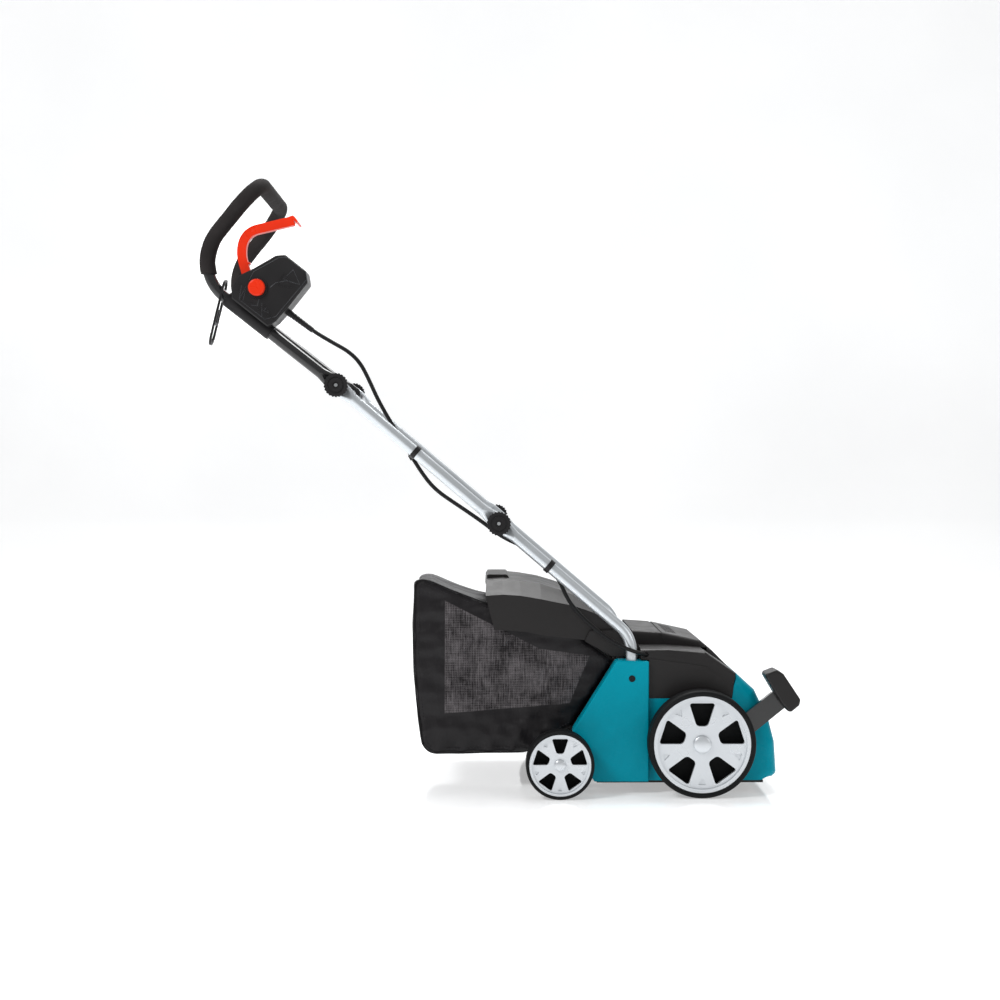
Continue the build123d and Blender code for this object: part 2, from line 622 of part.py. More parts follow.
def make_crank():
    arm_low = CRANK_ARM_LOW_Y
    arm_high = arm_low + CRANK_ARM_THICK
    rod = rod_y(CRANK_X, CRANK_Z, CRANK_ROD_R, -arm_high, arm_high)
    for side in SIDES.values():
        limits = span(side, arm_low, arm_high)
        arm = thick(polygon((CRANK_X, CRANK_Z - 12), (CRANK_X, CRANK_Z + 12),
                            (FRONT_WHEEL_X, FRONT_WHEEL_R + 9), (FRONT_WHEEL_X, FRONT_WHEEL_R - 9)),
                    *limits)
        rod += arm + rod_y(CRANK_X, CRANK_Z, 13, *limits) + rod_y(FRONT_WHEEL_X, FRONT_WHEEL_R, 10, *limits)
        rod += rod_y(FRONT_WHEEL_X, FRONT_WHEEL_R, STUB_R, *span(side, arm_low, FRONT_TYRE_OUTER_Y - CAP_INSET))
    rod += rod_y(CRANK_X, CRANK_Z, CRANK_ROD_R, -arm_high - CRANK_ARM_THICK, 0)
    save("crank_axle", rod)

    half = LEVER_ARM_WIDTH / 2
    start = (CRANK_X, CRANK_Z)
    neck = ray(start, LEVER_ANGLE, 40)
    tip = ray(start, LEVER_ANGLE, LEVER_LENGTH)
    lever_face = polygon(ray(start, LEVER_ANGLE + 90, 12), ray(neck, LEVER_ANGLE + 90, half),
                         ray(tip, LEVER_ANGLE + 90, half), ray(tip, LEVER_ANGLE - 90, half),
                         ray(neck, LEVER_ANGLE - 90, half), ray(start, LEVER_ANGLE - 90, 12))
    low = -arm_high - CRANK_ARM_THICK
    lever = thick(lever_face, low, -arm_high) + rod_y(CRANK_X, CRANK_Z, 14, low, -arm_high)
    for side in (-1, 1):
        near = ray(ray(start, LEVER_ANGLE, 52), LEVER_ANGLE + 90, side * (half - 1.5))
        far = ray(ray(start, LEVER_ANGLE, LEVER_LENGTH - 3), LEVER_ANGLE + 90, side * (half - 1.5))
        thickness = [ray(near, LEVER_ANGLE + 90, -1.5), ray(far, LEVER_ANGLE + 90, -1.5),
                     ray(far, LEVER_ANGLE + 90, 1.5), ray(near, LEVER_ANGLE + 90, 1.5)]
        lever += thick(polygon(*thickness), low, low + 12)
    lever -= rod_y(CRANK_X, CRANK_Z, CRANK_ROD_R, low - 1, -arm_high + 1)
    tongue = thick(polygon(ray(tip, LEVER_ANGLE + 90, 9), ray(tip, LEVER_ANGLE - 90, 9),
                           ray(ray(tip, LEVER_ANGLE, 12), LEVER_ANGLE - 90, 9),
                           ray(ray(tip, LEVER_ANGLE, 12), LEVER_ANGLE + 90, 9)), low, -arm_high)
    lever += tongue
    save("depth_lever", lever)

    pad_face = outline((457, 212, 6), (478, 220, 7), (491, 213, 7), (521, 168, 8), (519, 158, 7),
                       (502, 144, 7), (486, 163, 0))
    pad = thick(pad_face, -230, -184)
    pad = fillet(pad.edges().filter_by(lambda e: abs(e.center().Y + 230) < 0.01), 4)
    pad = fillet(pad.edges().filter_by(lambda e: abs(e.center().Y + 184) < 0.01), 4)
    pad -= lever
    save("depth_lever_pad", pad.solids().sort_by(SortBy.VOLUME)[-1])


# ---- handle -------------------------------------------------------------------------------------

def pressed_tube(start, angle, length, y, far_end):
    """A straight tube with a pressed flat end at the start, and at the far end if asked."""
    def body(shrink):
        radius = TUBE_R - shrink
        wide = PRESSED_WIDTH - 2 * shrink
        slim = PRESSED_THICK - 2 * shrink
        lead = PRESSED_WIDTH / 2 + (2 if shrink else 0)

        def flat(x):
            return Plane.YZ.offset(x) * RectangleRounded(slim, wide, slim / 2 - 0.05)

        def full(x):
            return Plane.YZ.offset(x) * RectangleRounded(2 * radius, 2 * radius, radius - 0.05)

        def end():
            piece = extrude(flat(-lead), amount=lead + TONGUE_LENGTH)
            return piece + loft([flat(TONGUE_LENGTH), full(TONGUE_LENGTH + TRANSITION)])

        first = TONGUE_LENGTH + TRANSITION
        last = length - first if far_end else length
        solid = end() + extrude(full(first), amount=last - first)
        if far_end:
            solid += Pos(length, 0, 0) * Rot(0, 180, 0) * end()
        return solid

    tube = body(0) - body(TUBE_WALL)
    ends = [0] + ([length] if far_end else [])
    for x in ends:
        way = -1 if x == 0 else 1
        trim = Pos(x + way * 20, 0, 0) * Box(40, 30, 60) - rod_y(x, 0, PRESSED_WIDTH / 2, -20, 20)
        tube -= trim
        tube -= rod_y(x, 0, BOLT_R + RUNNING, -20, 20)
    return Pos(start[0], y, start[1]) * Rot(0, -angle, 0) * tube


def make_lower_tubes():
    angle = angle_between(LOWER_FOLD, LOWER_BEND)
    straight = 70.0
    meet = ray(LOWER_FOLD, angle, straight)
    for name, side in SIDES.items():
        y = side * HANDLE_HALF_WIDTH
        head = pressed_tube(LOWER_FOLD, angle, straight, y, False)
        path = FilletPolyline((meet[0], y, meet[1]), (LOWER_BEND[0], y, LOWER_BEND[1]),
                              (LOWER_BEND[0], y, TUBE_FOOT_Z + 0.5), radius=LOWER_BEND_R)
        tail = round_sweep(path, TUBE_R) - round_sweep(path, TUBE_R - TUBE_WALL)
        tube = head + tail
        tube -= rod_y(LOWER_BEND[0], 202, 3.1, y - 20, y + 20)
        save(f"lower_tube_{name}", tube.solids().sort_by(SortBy.VOLUME)[-1])


def make_mid_tubes():
    angle = angle_between(LOWER_FOLD, UPPER_FOLD)
    length = math.dist(LOWER_FOLD, UPPER_FOLD)
    for name, side in SIDES.items():
        tube = pressed_tube(LOWER_FOLD, angle, length, side * MID_HALF_WIDTH, True)
        save(f"mid_tube_{name}", tube)


def handle_loop():
    """The centre line of the upper handle, from one arm round the crossbar to the other."""
    start = ray(UPPER_FOLD, angle_between(UPPER_FOLD, GRIP_LOW), 70)
    half = HANDLE_HALF_WIDTH
    right = [(p[0], -half, p[1]) for p in (start, GRIP_LOW, GRIP_BEND, GRIP_TOP)]
    left = [(x, half, z) for x, y, z in reversed(right)]
    radii = [75, 88, GRIP_CORNER_R]
    return FilletPolyline(*right, *left, radius=radii + radii[::-1])


def make_upper_handle():
    path = handle_loop()
    tube = round_sweep(path, TUBE_R) - round_sweep(path, TUBE_R - TUBE_WALL)
    angle = angle_between(UPPER_FOLD, GRIP_LOW)
    for side in SIDES.values():
        tube += pressed_tube(UPPER_FOLD, angle, 70, side * HANDLE_HALF_WIDTH, False)
    save("upper_tube", tube.solids().sort_by(SortBy.VOLUME)[-1])
    foam = round_sweep(path, FOAM_R) - round_sweep(path, TUBE_R + 0.1)
    foam &= Pos(-450, 0, FOAM_START_Z + 150) * Box(400, 600, 300)
    save("foam_grip", foam.solids().sort_by(SortBy.VOLUME)[-1])


def make_bolts_and_knobs():
    inner = HANDLE_HALF_WIDTH - PRESSED_THICK / 2
    outer = MID_HALF_WIDTH + PRESSED_THICK / 2
    bolts = []
    knob = clamp_knob()
    for fold_name, fold in (("lower", LOWER_FOLD), ("upper", UPPER_FOLD)):
        for name, side in SIDES.items():
            head_y = inner - LOOSE
            bolt = rod_y(*fold, BOLT_R, *span(side, head_y, outer + KNOB_LENGTH - 2))
            bolt += thick(Pos(*fold) * RegularPolygon(5.6, 6), *span(side, head_y - 3.5, head_y))
            bolts.append(bolt)
            facing = Pos(fold[0], side * (outer + LOOSE), fold[1]) * Rot(-90 * side, 0, 0)
            save(f"knob_{fold_name}_{name}", facing * knob)
    save("fold_bolts", bolts)


def clamp_knob():
    """A toothed knob along +Z, with its washer face at z = 0."""
    knob = Cylinder(12, 8, align=(Align.CENTER, Align.CENTER, Align.MIN))
    head_low = 7.5
    head = Pos(0, 0, head_low) * Cylinder(KNOB_R, KNOB_LENGTH - head_low,
                                          align=(Align.CENTER, Align.CENTER, Align.MIN))
    head = chamfer(head.edges(), 1.2)
    for i in range(KNOB_TEETH):
        x, y = ray((0, 0), i * 360 / KNOB_TEETH, KNOB_R + 0.5)
        head -= Pos(x, y, 0) * Cylinder(1.9, 100)
    groove = Pos(0, 0, KNOB_LENGTH) * (Cylinder(14.5, 3) - Cylinder(12, 4))
    recess = Pos(0, 0, KNOB_LENGTH) * Cylinder(6, 4)
    knob = knob + head - groove - recess
    return knob - Cylinder(BOLT_R + RUNNING, 100)


# ---- switch box ---------------------------------------------------------------------------------

def box_outline(inset):
    face = outline((-450, 900, 6), (-425, 912, 6), (-385, 935, 8), (-369, 936, 6), (-334, 908, 8),
                   (-331, 888, 6), (-362, 849, 5), (-386, 822, 6), (-400, 812, 5), (-462, 861, 5),
                   (-462, 880, 6))
    return offset(face, amount=-inset, kind=Kind.INTERSECTION) if inset else face


def arm_rod(radius, start, end, y):
    """A rod round the right arm's axis between two distances from the upper fold."""
    angle = angle_between(UPPER_FOLD, GRIP_LOW)
    middle = ray(UPPER_FOLD, angle, (start + end) / 2)
    return Pos(middle[0], y, middle[1]) * Rot(0, 90 - angle, 0) * Cylinder(radius, end - start)


def make_switch_box():
    y_tube = -HANDLE_HALF_WIDTH
    limits = {"outer": (BOX_OUTER_Y, y_tube - 0.05), "inner": (y_tube + 0.05, BOX_INNER_Y)}
    lever_gap = thick(outline((-470, 885, 0), (-420, 885, 0), (-415, 905, 0), (-440, 950, 0),
                              (-480, 950, 0)),
                      SWITCH_LEVER_LOW_Y - 1, SWITCH_LEVER_LOW_Y + SWITCH_LEVER_WIDTH + 1)
    for name, (low, high) in limits.items():
        half = thick(box_outline(0), low, high)
        face_y = BOX_OUTER_Y if name == "outer" else BOX_INNER_Y
        rim = half.edges().filter_by(lambda e: abs(e.center().Y - face_y) < 0.01)
        half = chamfer(rim, 2.5)
        if name == "outer":
            half -= thick(box_outline(BOX_WALL), low + BOX_WALL, high + 1)
        else:
            half -= thick(box_outline(BOX_WALL), low - 1, high - BOX_WALL)
        keep = Pos(-400, (low + high) / 2, 850) * Box(300, high - low, 300)
        half += (arm_rod(SLEEVE_R, 146, 244, y_tube) & keep)
        half -= arm_rod(TUBE_R + 0.05, 100, 268, y_tube)
        gland = Pos(-366, y_tube, 838.5) * Rot(0, 127, 0) * Cylinder(6.0, 14)
        half -= gland
        if name == "outer":
            half += ring_y(BUTTON_X, BUTTON_Z, BUTTON_R + LOOSE, 18, BOX_OUTER_Y - 2.5, BOX_OUTER_Y + 6)
            half -= rod_y(BUTTON_X, BUTTON_Z, BUTTON_R + LOOSE, BOX_OUTER_Y - 4, BOX_OUTER_Y + 8)
            half += face_ribs() + rod_y(*SWITCH_LEVER_PIVOT, 5, y_tube - 14, y_tube - 0.05)
            half -= rod_y(*SWITCH_LEVER_PIVOT, SPIGOT_R, y_tube - 10, y_tube + 1)
        else:
            half -= lever_gap
            half -= inlet_cut()
            half += rod_y(*SWITCH_LEVER_PIVOT, SPIGOT_R, y_tube - 9.5, BOX_INNER_Y - 1)
        save(f"switch_box_{name}", half.solids().sort_by(SortBy.VOLUME)[-1])


def face_ribs():
    """Raised strips on the outer face of the box, in plain triangles."""
    ribs = None
    triangles = [((-372, 905), (-357, 880), (-383, 884)), ((-440, 872), (-424, 852), (-447, 858)),
                 ((-404, 850), (-392, 828), (-418, 841)), ((-448, 888), (-436, 876), (-452, 872))]
    for corners in triangles:
        for i in range(3):
            start = corners[i]
            end = corners[(i + 1) % 3]
            turn = angle_between(start, end)
            strip = polygon(ray(start, turn + 90, 0.6), ray(end, turn + 90, 0.6),
                            ray(end, turn - 90, 0.6), ray(start, turn - 90, 0.6))
            piece = thick(strip, BOX_OUTER_Y - 0.7, BOX_OUTER_Y + 0.5)
            ribs = piece if ribs is None else ribs + piece
    return ribs


def inlet_cut():
    return thick(outline((-402, 905, 5), (-366, 905, 5), (-366, 873, 5), (-402, 873, 5)),
                 BOX_INNER_Y - 4, BOX_INNER_Y + 1)


def make_switch_parts():
    inlet = thick(outline((-402 + 0.1, 905 - 0.1, 5), (-366 - 0.1, 905 - 0.1, 5),
                          (-366 - 0.1, 873 + 0.1, 5), (-402 + 0.1, 873 + 0.1, 5)),
                  BOX_INNER_Y - 26, BOX_INNER_Y + 8)
    inlet -= thick(outline((-398, 901, 3), (-370, 901, 3), (-370, 877, 3), (-398, 877, 3)),
                   BOX_INNER_Y - 22, BOX_INNER_Y + 9)
    for x in (-391, -377):
        inlet += rod_y(x, 889, 2.4, BOX_INNER_Y - 23, BOX_INNER_Y + 5)
    save("mains_inlet", inlet)

    module = Pos(-418, -207, 879.5) * Box(24, 14, 22)
    module += Pos(-440, -200, 885) * Box(14, 8, 6)
    save("switch_module", module)

    button = rod_y(BUTTON_X, BUTTON_Z, BUTTON_R, BOX_OUTER_Y - 9, BOX_OUTER_Y + 4.5)
    button = fillet(button.edges().filter_by(lambda e: e.center().Y < BOX_OUTER_Y - 8), 3)
    save("lock_button", button)

    pivot = SWITCH_LEVER_PIVOT
    low = SWITCH_LEVER_LOW_Y
    high = low + SWITCH_LEVER_WIDTH
    centre = FilletPolyline(pivot, (-452, 944), (-443, 980), (-359, 1000), radius=[60, 34])
    band = trace(centre, 16)
    lever = thick(band, low, high)
    inner_band = trace(FilletPolyline((-443.4, 914), (-452, 944), (-443, 980), (-366, 998.3),
                                      radius=[60, 34]), 10)
    lever -= thick(inner_band, low + 3, high + 1)
    lever += thick(polygon((-449, 921), (-435, 925), (-436, 928), (-450, 924)), low + 1, high)
    lever += rod_y(*pivot, 8, low, high)
    lever -= rod_y(*pivot, SPIGOT_R + RUNNING, low - 1, high + 1)
    bar_face = outline((-368, 1006.5, 1), (-361, 1009, 1), (-357.5, 1007, 1), (-351.5, 998.5, 1),
                       (-354, 996, 1), (-361, 1003, 1), (-368, 1003, 1))
    bar = thick(bar_face, low, low + LEVER_BAR)
    lever += bar
    save("switch_lever", lever.solids().sort_by(SortBy.VOLUME)[-1])

    def along_relief(distance, shape):
        spot = ray(RELIEF_START, RELIEF_ANGLE, distance)
        return Pos(spot[0], -HANDLE_HALF_WIDTH, spot[1]) * Rot(0, 90 - RELIEF_ANGLE, 0) * shape

    relief = along_relief(RELIEF_LENGTH / 2, Cone(5.75, 4.5, RELIEF_LENGTH))
    for i in range(6):
        relief -= along_relief(14 + i * 6, Cylinder(8, 1.4) - Cylinder(4.4, 2))
    relief += along_relief(4, Cylinder(5.9, 8))
    relief -= along_relief(RELIEF_LENGTH / 2, Cylinder(CABLE_R + 0.1, RELIEF_LENGTH + 20))
    save("strain_relief", relief.solids().sort_by(SortBy.VOLUME)[-1])


# ---- lead ---------------------------------------------------------------------------------------

ARM_Y = -HANDLE_HALF_WIDTH
UPPER_STRAP = Vector(-153.6, -186.5, 588.8)
UPPER_STRAP_WAY = Vector(36, -13, -60).normalized()
LOWER_STRAP = Vector(85.7, -175.2, 396.6)
LOWER_STRAP_WAY = Vector(0.653, -0.025, -0.757).normalized()


def relief_point(distance):
    """A point on the strain relief's axis."""
    x, z = ray(RELIEF_START, RELIEF_ANGLE, distance)
    return (x, ARM_Y, z)


LEAD_POINTS = {
    "cable_upper": [relief_point(2), relief_point(RELIEF_LENGTH + 6), (-290, -189, 787),
                    (-263, -187, 772), (-243, -185, 752), (-228, -181, 722), (-214, -177, 690),
                    (-194, -174, 654), UPPER_STRAP - UPPER_STRAP_WAY * 36, UPPER_STRAP],
    "cable_mid": [UPPER_STRAP, UPPER_STRAP + UPPER_STRAP_WAY * 30, (-113, -189, 531),
                  (-70, -185, 502), (-28, -179, 473), (6, -174.5, 446),
                  LOWER_STRAP - LOWER_STRAP_WAY * 34, LOWER_STRAP],
    "cable_lower": [LOWER_STRAP, LOWER_STRAP + LOWER_STRAP_WAY * 26, (118, -180, 340),
                    (139, -187, 313), (168, -198, 286), (199, -206, 264.5), (228, -208.5, 251.5),
                    (250, -197, 244.5), (267, -182, 239)],
}


def bend_radii(points):
    """An arc at each inner point, as large as its two runs allow."""
    radii = []
    for i in range(1, len(points) - 1):
        before = points[i] - points[i - 1]
        after = points[i + 1] - points[i]
        half_turn = math.radians(before.get_angle(after)) / 2
        shorter = min(before.length, after.length)
        radii.append(0.45 * shorter / math.tan(half_turn))
    return radii


def lead_path(name):
    """The centre line of one stretch of the lead."""
    points = [Vector(*point) for point in LEAD_POINTS[name]]
    return FilletPolyline(*points, radius=bend_radii(points))


def make_lead():
    for name, route in LEAD_POINTS.items():
        radii = bend_radii([Vector(*point) for point in route])
        path = lead_path(name)
        tube = round_sweep(path, CABLE_R)
        expected = math.pi * CABLE_R ** 2 * path.length
        print(name, "radii", [round(r) for r in radii], "volume", round(tube.volume),
              "section x length", round(expected))
        save(name, tube)


def cable_strap(fold, angle, tube_y, lead, lead_way):
    """A strap round a straight tube, square to it, with an eye along the lead."""
    width = 9.0
    way = Vector(direction(angle)[0], 0, direction(angle)[1])
    fold_point = Vector(fold[0], tube_y, fold[1])
    spot = fold_point + way * (lead - fold_point).dot(way)
    on_tube = Plane(spot, z_dir=way)
    on_lead = Plane(lead, z_dir=lead_way)
    strap = on_tube * Cylinder(TUBE_R + 2.2, width) + on_lead * Cylinder(CABLE_R + 2.0, width)
    strap -= on_tube * Cylinder(TUBE_R + RUNNING, width + 8)
    strap -= on_lead * Cylinder(CABLE_R + 0.15, width + 8)
    return strap.solids().sort_by(SortBy.VOLUME)[-1]


def make_straps():
    save("mid_cable_strap", cable_strap(LOWER_FOLD, angle_between(LOWER_FOLD, UPPER_FOLD),
                                        -MID_HALF_WIDTH, UPPER_STRAP, UPPER_STRAP_WAY))
    save("lower_cable_strap", cable_strap(LOWER_FOLD, angle_between(LOWER_FOLD, LOWER_BEND),
                                          -HANDLE_HALF_WIDTH, LOWER_STRAP, LOWER_STRAP_WAY))


# ---- lead hook ----------------------------------------------------------------------------------

HOOK_TOP = (-475.5, 896.5)
HOOK_CROSS = (-484.5, 873.0)
HOOK_END = (-503.5, 783.0)


def make_lead_hook():
    """A plastic loop that hangs on the bent tube, with an eye and a prong for the lead."""
    lean = angle_between(HOOK_END, HOOK_TOP)
    length = math.dist(HOOK_END, HOOK_TOP)
    half = 15.0
    bar = 4.0
    loop_outer = SlotOverall(length, 2 * (half + bar))
    loop_inner = SlotOverall(length - 2 * bar, 2 * half)
    frame = extrude(Plane.XY * (loop_outer - loop_inner), amount=bar, both=False)
    bridge = Pos(-length / 2 + 38, 0, bar / 2) * Box(bar, 2 * half + 1, bar)
    frame += bridge
    prong = Pos(-length / 2 + 38 + 12, 0, bar / 2) * Box(26, 5, bar)
    frame += prong
    middle = ((HOOK_TOP[0] + HOOK_END[0]) / 2, (HOOK_TOP[1] + HOOK_END[1]) / 2)
    placed = Pos(middle[0], ARM_Y, middle[1]) * Rot(0, -lean, 0) * Pos(0, 0, -bar / 2) * frame
    save("lead_hook", placed.solids().sort_by(SortBy.VOLUME)[-1])


# ---- flap and bag -------------------------------------------------------------------------------

FLAP_SIDE_TOP = [(-25, 344), (6, 346), (37, 344), (73, 338), (106, 331), (128, 327), (166, 314),
                 (197, 295)]
FLAP_CROWN_TOP = [(-24, 368), (6, 370), (37, 367), (73, 361), (106, 351), (128, 343), (166, 326),
                  (197, 302)]
FLAP_BOTTOM = [(203, 288), (203, 273), (169, 263), (131, 268), (82, 273), (46, 280), (-10, 284)]


def flap_section(y, top, lower, bottom):
    points = [(x, z - lower) for x, z in top] + bottom
    return side_plane(y) * polygon(*points)


def make_flap():
    half = FLAP_HALF_WIDTH
    shoulder = 112.0
    stations = [(-half, FLAP_SIDE_TOP), (-shoulder, FLAP_CROWN_TOP), (shoulder, FLAP_CROWN_TOP),
                (half, FLAP_SIDE_TOP)]
    outer = loft([flap_section(y, top, 0, FLAP_BOTTOM) for y, top in stations], ruled=True)
    low_bottom = [(200, 285), (200, 240), (169, 240), (131, 240), (82, 240), (46, 240), (-45, 240)]
    inner_tops = {}
    for name, points in (("side", FLAP_SIDE_TOP), ("crown", FLAP_CROWN_TOP)):
        inner_tops[name] = [(-45, points[0][1])] + [(min(x, 194), z) for x, z in points[1:]]
    wall = FLAP_WALL
    inner_stations = [(-half + wall, inner_tops["side"]), (-shoulder + 1, inner_tops["crown"]),
                      (shoulder - 1, inner_tops["crown"]), (half - wall, inner_tops["side"])]
    inner = loft([flap_section(y, top, wall + 0.5, low_bottom) for y, top in inner_stations], ruled=True)
    flap = outer - inner
    grip = thick(outline((-22, 366, 0), (-22, 375, 3), (14, 375, 4), (20, 366, 0)), -70, 70)
    flap += grip - thick(outline((-17, 362, 0), (-17, 371.5, 2), (11, 371.5, 2), (15, 362, 0)), -66, 66)
    for y in (-150, -30, 30, 150):
        knuckle = outline((200, 290, 0), (HINGE_X - 2, HINGE_Z + 10, 0), (HINGE_X + 7, HINGE_Z + 5, 4),
                          (HINGE_X + 6, HINGE_Z - 7, 5), (HINGE_X - 7, HINGE_Z - 7, 5), (203, 276, 0))
        flap += thick(knuckle, y - 9, y + 9)
    flap -= rod_y(HINGE_X, HINGE_Z, HINGE_PIN_R + RUNNING, -half - 5, half + 5)
    save("discharge_flap", flap.solids().sort_by(SortBy.VOLUME)[-1])


BAG_TOP = [(-151, 372), (-128, 375), (-93, 359), (-30, 334), (100, 302)]
BAG_LOW = [(50, 64), (-122, 60), (-139, 72), (-142, 110), (-149, 165), (-154, 256)]


def bag_face(inset):
    mouth_angle = angle_between(MOUTH_LOW, MOUTH_HIGH)
    gap = BAG_FRAME_THICK + 1.6
    high = ray(MOUTH_HIGH, mouth_angle + 90, gap)
    low = ray(MOUTH_LOW, mouth_angle + 90, gap)
    corners = [(x, z, 5) for x, z in BAG_TOP] + [(*high, 0), (*low, 0)] + [
        (x, z, 8) for x, z in BAG_LOW]
    face = outline(*corners)
    return offset(face, amount=-inset, kind=Kind.INTERSECTION) if inset else face


def make_bag():
    half = BAG_HALF_WIDTH
    bag = thick(bag_face(0), -half, half)
    bag -= thick(bag_face(BAG_WALL), -half + BAG_WALL, half - BAG_WALL)
    mouth_angle = angle_between(MOUTH_LOW, MOUTH_HIGH)
    inner_low = ray(MOUTH_LOW, mouth_angle, 8)
    inner_high = ray(MOUTH_HIGH, mouth_angle, -8)
    away = mouth_angle + 90
    mouth = polygon(ray(inner_low, away, -10), ray(inner_high, away, -10), ray(inner_high, away, 22),
                    ray(inner_low, away, 22))
    bag -= thick(mouth, -half + 10, half - 10)
    save("bag_fabric", bag.solids().sort_by(SortBy.VOLUME)[-1])

    low = ray(MOUTH_LOW, away, 0.8)
    high = ray(MOUTH_HIGH, away, 0.8)
    ring_face = polygon(low, high, ray(high, away, BAG_FRAME_THICK), ray(low, away, BAG_FRAME_THICK))
    frame = thick(ring_face, -half, half)
    frame -= thick(mouth, -half + 10, half - 10)
    save("bag_frame", frame.solids().sort_by(SortBy.VOLUME)[-1])


# ---- build --------------------------------------------------------------------------------------

make_wheels()
make_deck()
make_pods()
make_underbody()
make_shoulder_panels()
make_motor_cover()
make_flap_pin()
make_rear_axle()
make_housing_screws()
make_motor()
make_belt_drive()
make_rotor()
make_bearing_plate()
make_crank()
make_lower_tubes()
make_mid_tubes()
make_upper_handle()
make_bolts_and_knobs()
make_switch_box()
make_switch_parts()
make_lead()
make_straps()
make_lead_hook()
make_flap()
make_bag()
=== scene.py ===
"""Looks of an electric lawn scarifier, laid out as a Blender add-on and run as a script."""

import math

import bmesh
import bpy
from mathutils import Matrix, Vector, noise


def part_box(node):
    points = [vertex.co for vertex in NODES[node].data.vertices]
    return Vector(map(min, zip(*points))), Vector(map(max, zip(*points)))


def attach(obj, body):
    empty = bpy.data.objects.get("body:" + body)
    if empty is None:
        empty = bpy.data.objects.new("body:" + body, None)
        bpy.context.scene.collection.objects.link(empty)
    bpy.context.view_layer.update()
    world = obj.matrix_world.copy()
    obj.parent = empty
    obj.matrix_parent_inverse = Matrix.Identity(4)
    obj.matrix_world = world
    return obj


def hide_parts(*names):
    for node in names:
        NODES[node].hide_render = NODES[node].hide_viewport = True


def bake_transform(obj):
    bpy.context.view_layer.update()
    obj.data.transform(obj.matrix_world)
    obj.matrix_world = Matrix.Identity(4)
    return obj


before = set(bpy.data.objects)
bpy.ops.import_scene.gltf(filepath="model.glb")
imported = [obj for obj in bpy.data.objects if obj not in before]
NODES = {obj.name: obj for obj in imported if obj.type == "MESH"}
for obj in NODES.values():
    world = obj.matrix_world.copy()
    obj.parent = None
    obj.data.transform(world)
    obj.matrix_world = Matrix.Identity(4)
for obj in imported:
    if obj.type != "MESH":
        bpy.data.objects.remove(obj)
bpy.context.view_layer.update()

bl_info = {
    "name": "Lawn scarifier looks",
    "version": (1, 0, 0),
    "blender": (4, 2, 0),
    "location": "View3D > Sidebar > Scarifier",
    "description": "Makes the bag, lead, grip, stitching, screws and finishes of a lawn scarifier",
    "category": "Object",
}

# Which finish each CAD node has. Nodes that a soft piece replaces aren't listed.
FINISH_OF = {
    "teal_plastic": ["deck_shell", "pod_right", "pod_left"],
    "black_plastic": ["underbody", "side_panel_right", "side_panel_left", "motor_cover",
                      "discharge_flap", "bag_frame", "cooling_fan", "depth_lever_pad"],
    "box_plastic": ["switch_box_outer", "switch_box_inner", "switch_module", "mains_inlet",
                    "lead_hook", "strain_relief", "mid_cable_strap", "lower_cable_strap",
                    "knob_lower_right", "knob_lower_left", "knob_upper_right", "knob_upper_left"],
    "tyre_rubber": ["front_tyre_right", "front_tyre_left", "rear_tyre_right", "rear_tyre_left"],
    "silver_paint": ["front_wheel_right", "front_wheel_left", "rear_wheel_right",
                     "rear_wheel_left", "front_hub_caps", "rear_hub_caps"],
    "silver_tube": ["lower_tube_right", "lower_tube_left", "mid_tube_right", "mid_tube_left"],
    "black_enamel": ["upper_tube", "depth_lever"],
    "red_plastic": ["switch_lever", "lock_button"],
    "zinc_steel": ["fold_bolts", "flap_hinge_pin", "rear_axle", "crank_axle",
                   "motor_can", "rotor_shaft", "rotor_bearings", "motor_pulley"],
    # The pod screws are drawn dark grey: painted shade of the holes they sit in.
    "black_steel": ["pod_screws"],
    "blade_steel": ["scarifier_blades"],
    "cast_aluminium": ["bearing_plate", "rotor_pulley"],
    "belt_rubber": ["drive_belt"],
    "copper_winding": ["motor_armature"],
}

# The lead's route, in metres: the control points of one smooth line for each stretch.
RELIEF_START = Vector((-0.3705, -0.190, 0.842))
RELIEF_WAY = Vector((math.cos(math.radians(36.7)), 0, -math.sin(math.radians(36.7))))
UPPER_STRAP = Vector((-0.1536, -0.1865, 0.5888))
UPPER_STRAP_WAY = Vector((36, -13, -60)).normalized()
LOWER_STRAP = Vector((0.0857, -0.1752, 0.3966))
LOWER_STRAP_WAY = Vector((0.653, -0.025, -0.757)).normalized()
LEAD_ROUTES = {
    "upper_lead": [RELIEF_START + RELIEF_WAY * 0.002, RELIEF_START + RELIEF_WAY * 0.030,
                   RELIEF_START + RELIEF_WAY * 0.062, (-0.290, -0.189, 0.787),
                   (-0.263, -0.187, 0.772), (-0.243, -0.185, 0.752), (-0.228, -0.181, 0.722),
                   (-0.214, -0.177, 0.690), (-0.194, -0.174, 0.654),
                   UPPER_STRAP - UPPER_STRAP_WAY * 0.036, UPPER_STRAP],
    "middle_lead": [UPPER_STRAP, UPPER_STRAP + UPPER_STRAP_WAY * 0.030, (-0.113, -0.189, 0.531),
                    (-0.070, -0.185, 0.502), (-0.028, -0.179, 0.473), (0.006, -0.1745, 0.446),
                    LOWER_STRAP - LOWER_STRAP_WAY * 0.034, LOWER_STRAP],
    "lower_lead": [LOWER_STRAP, LOWER_STRAP + LOWER_STRAP_WAY * 0.026, (0.118, -0.180, 0.340),
                   (0.139, -0.187, 0.313), (0.168, -0.198, 0.286), (0.199, -0.206, 0.2645),
                   (0.228, -0.2085, 0.2515), (0.250, -0.197, 0.2445), (0.267, -0.182, 0.239)],
}

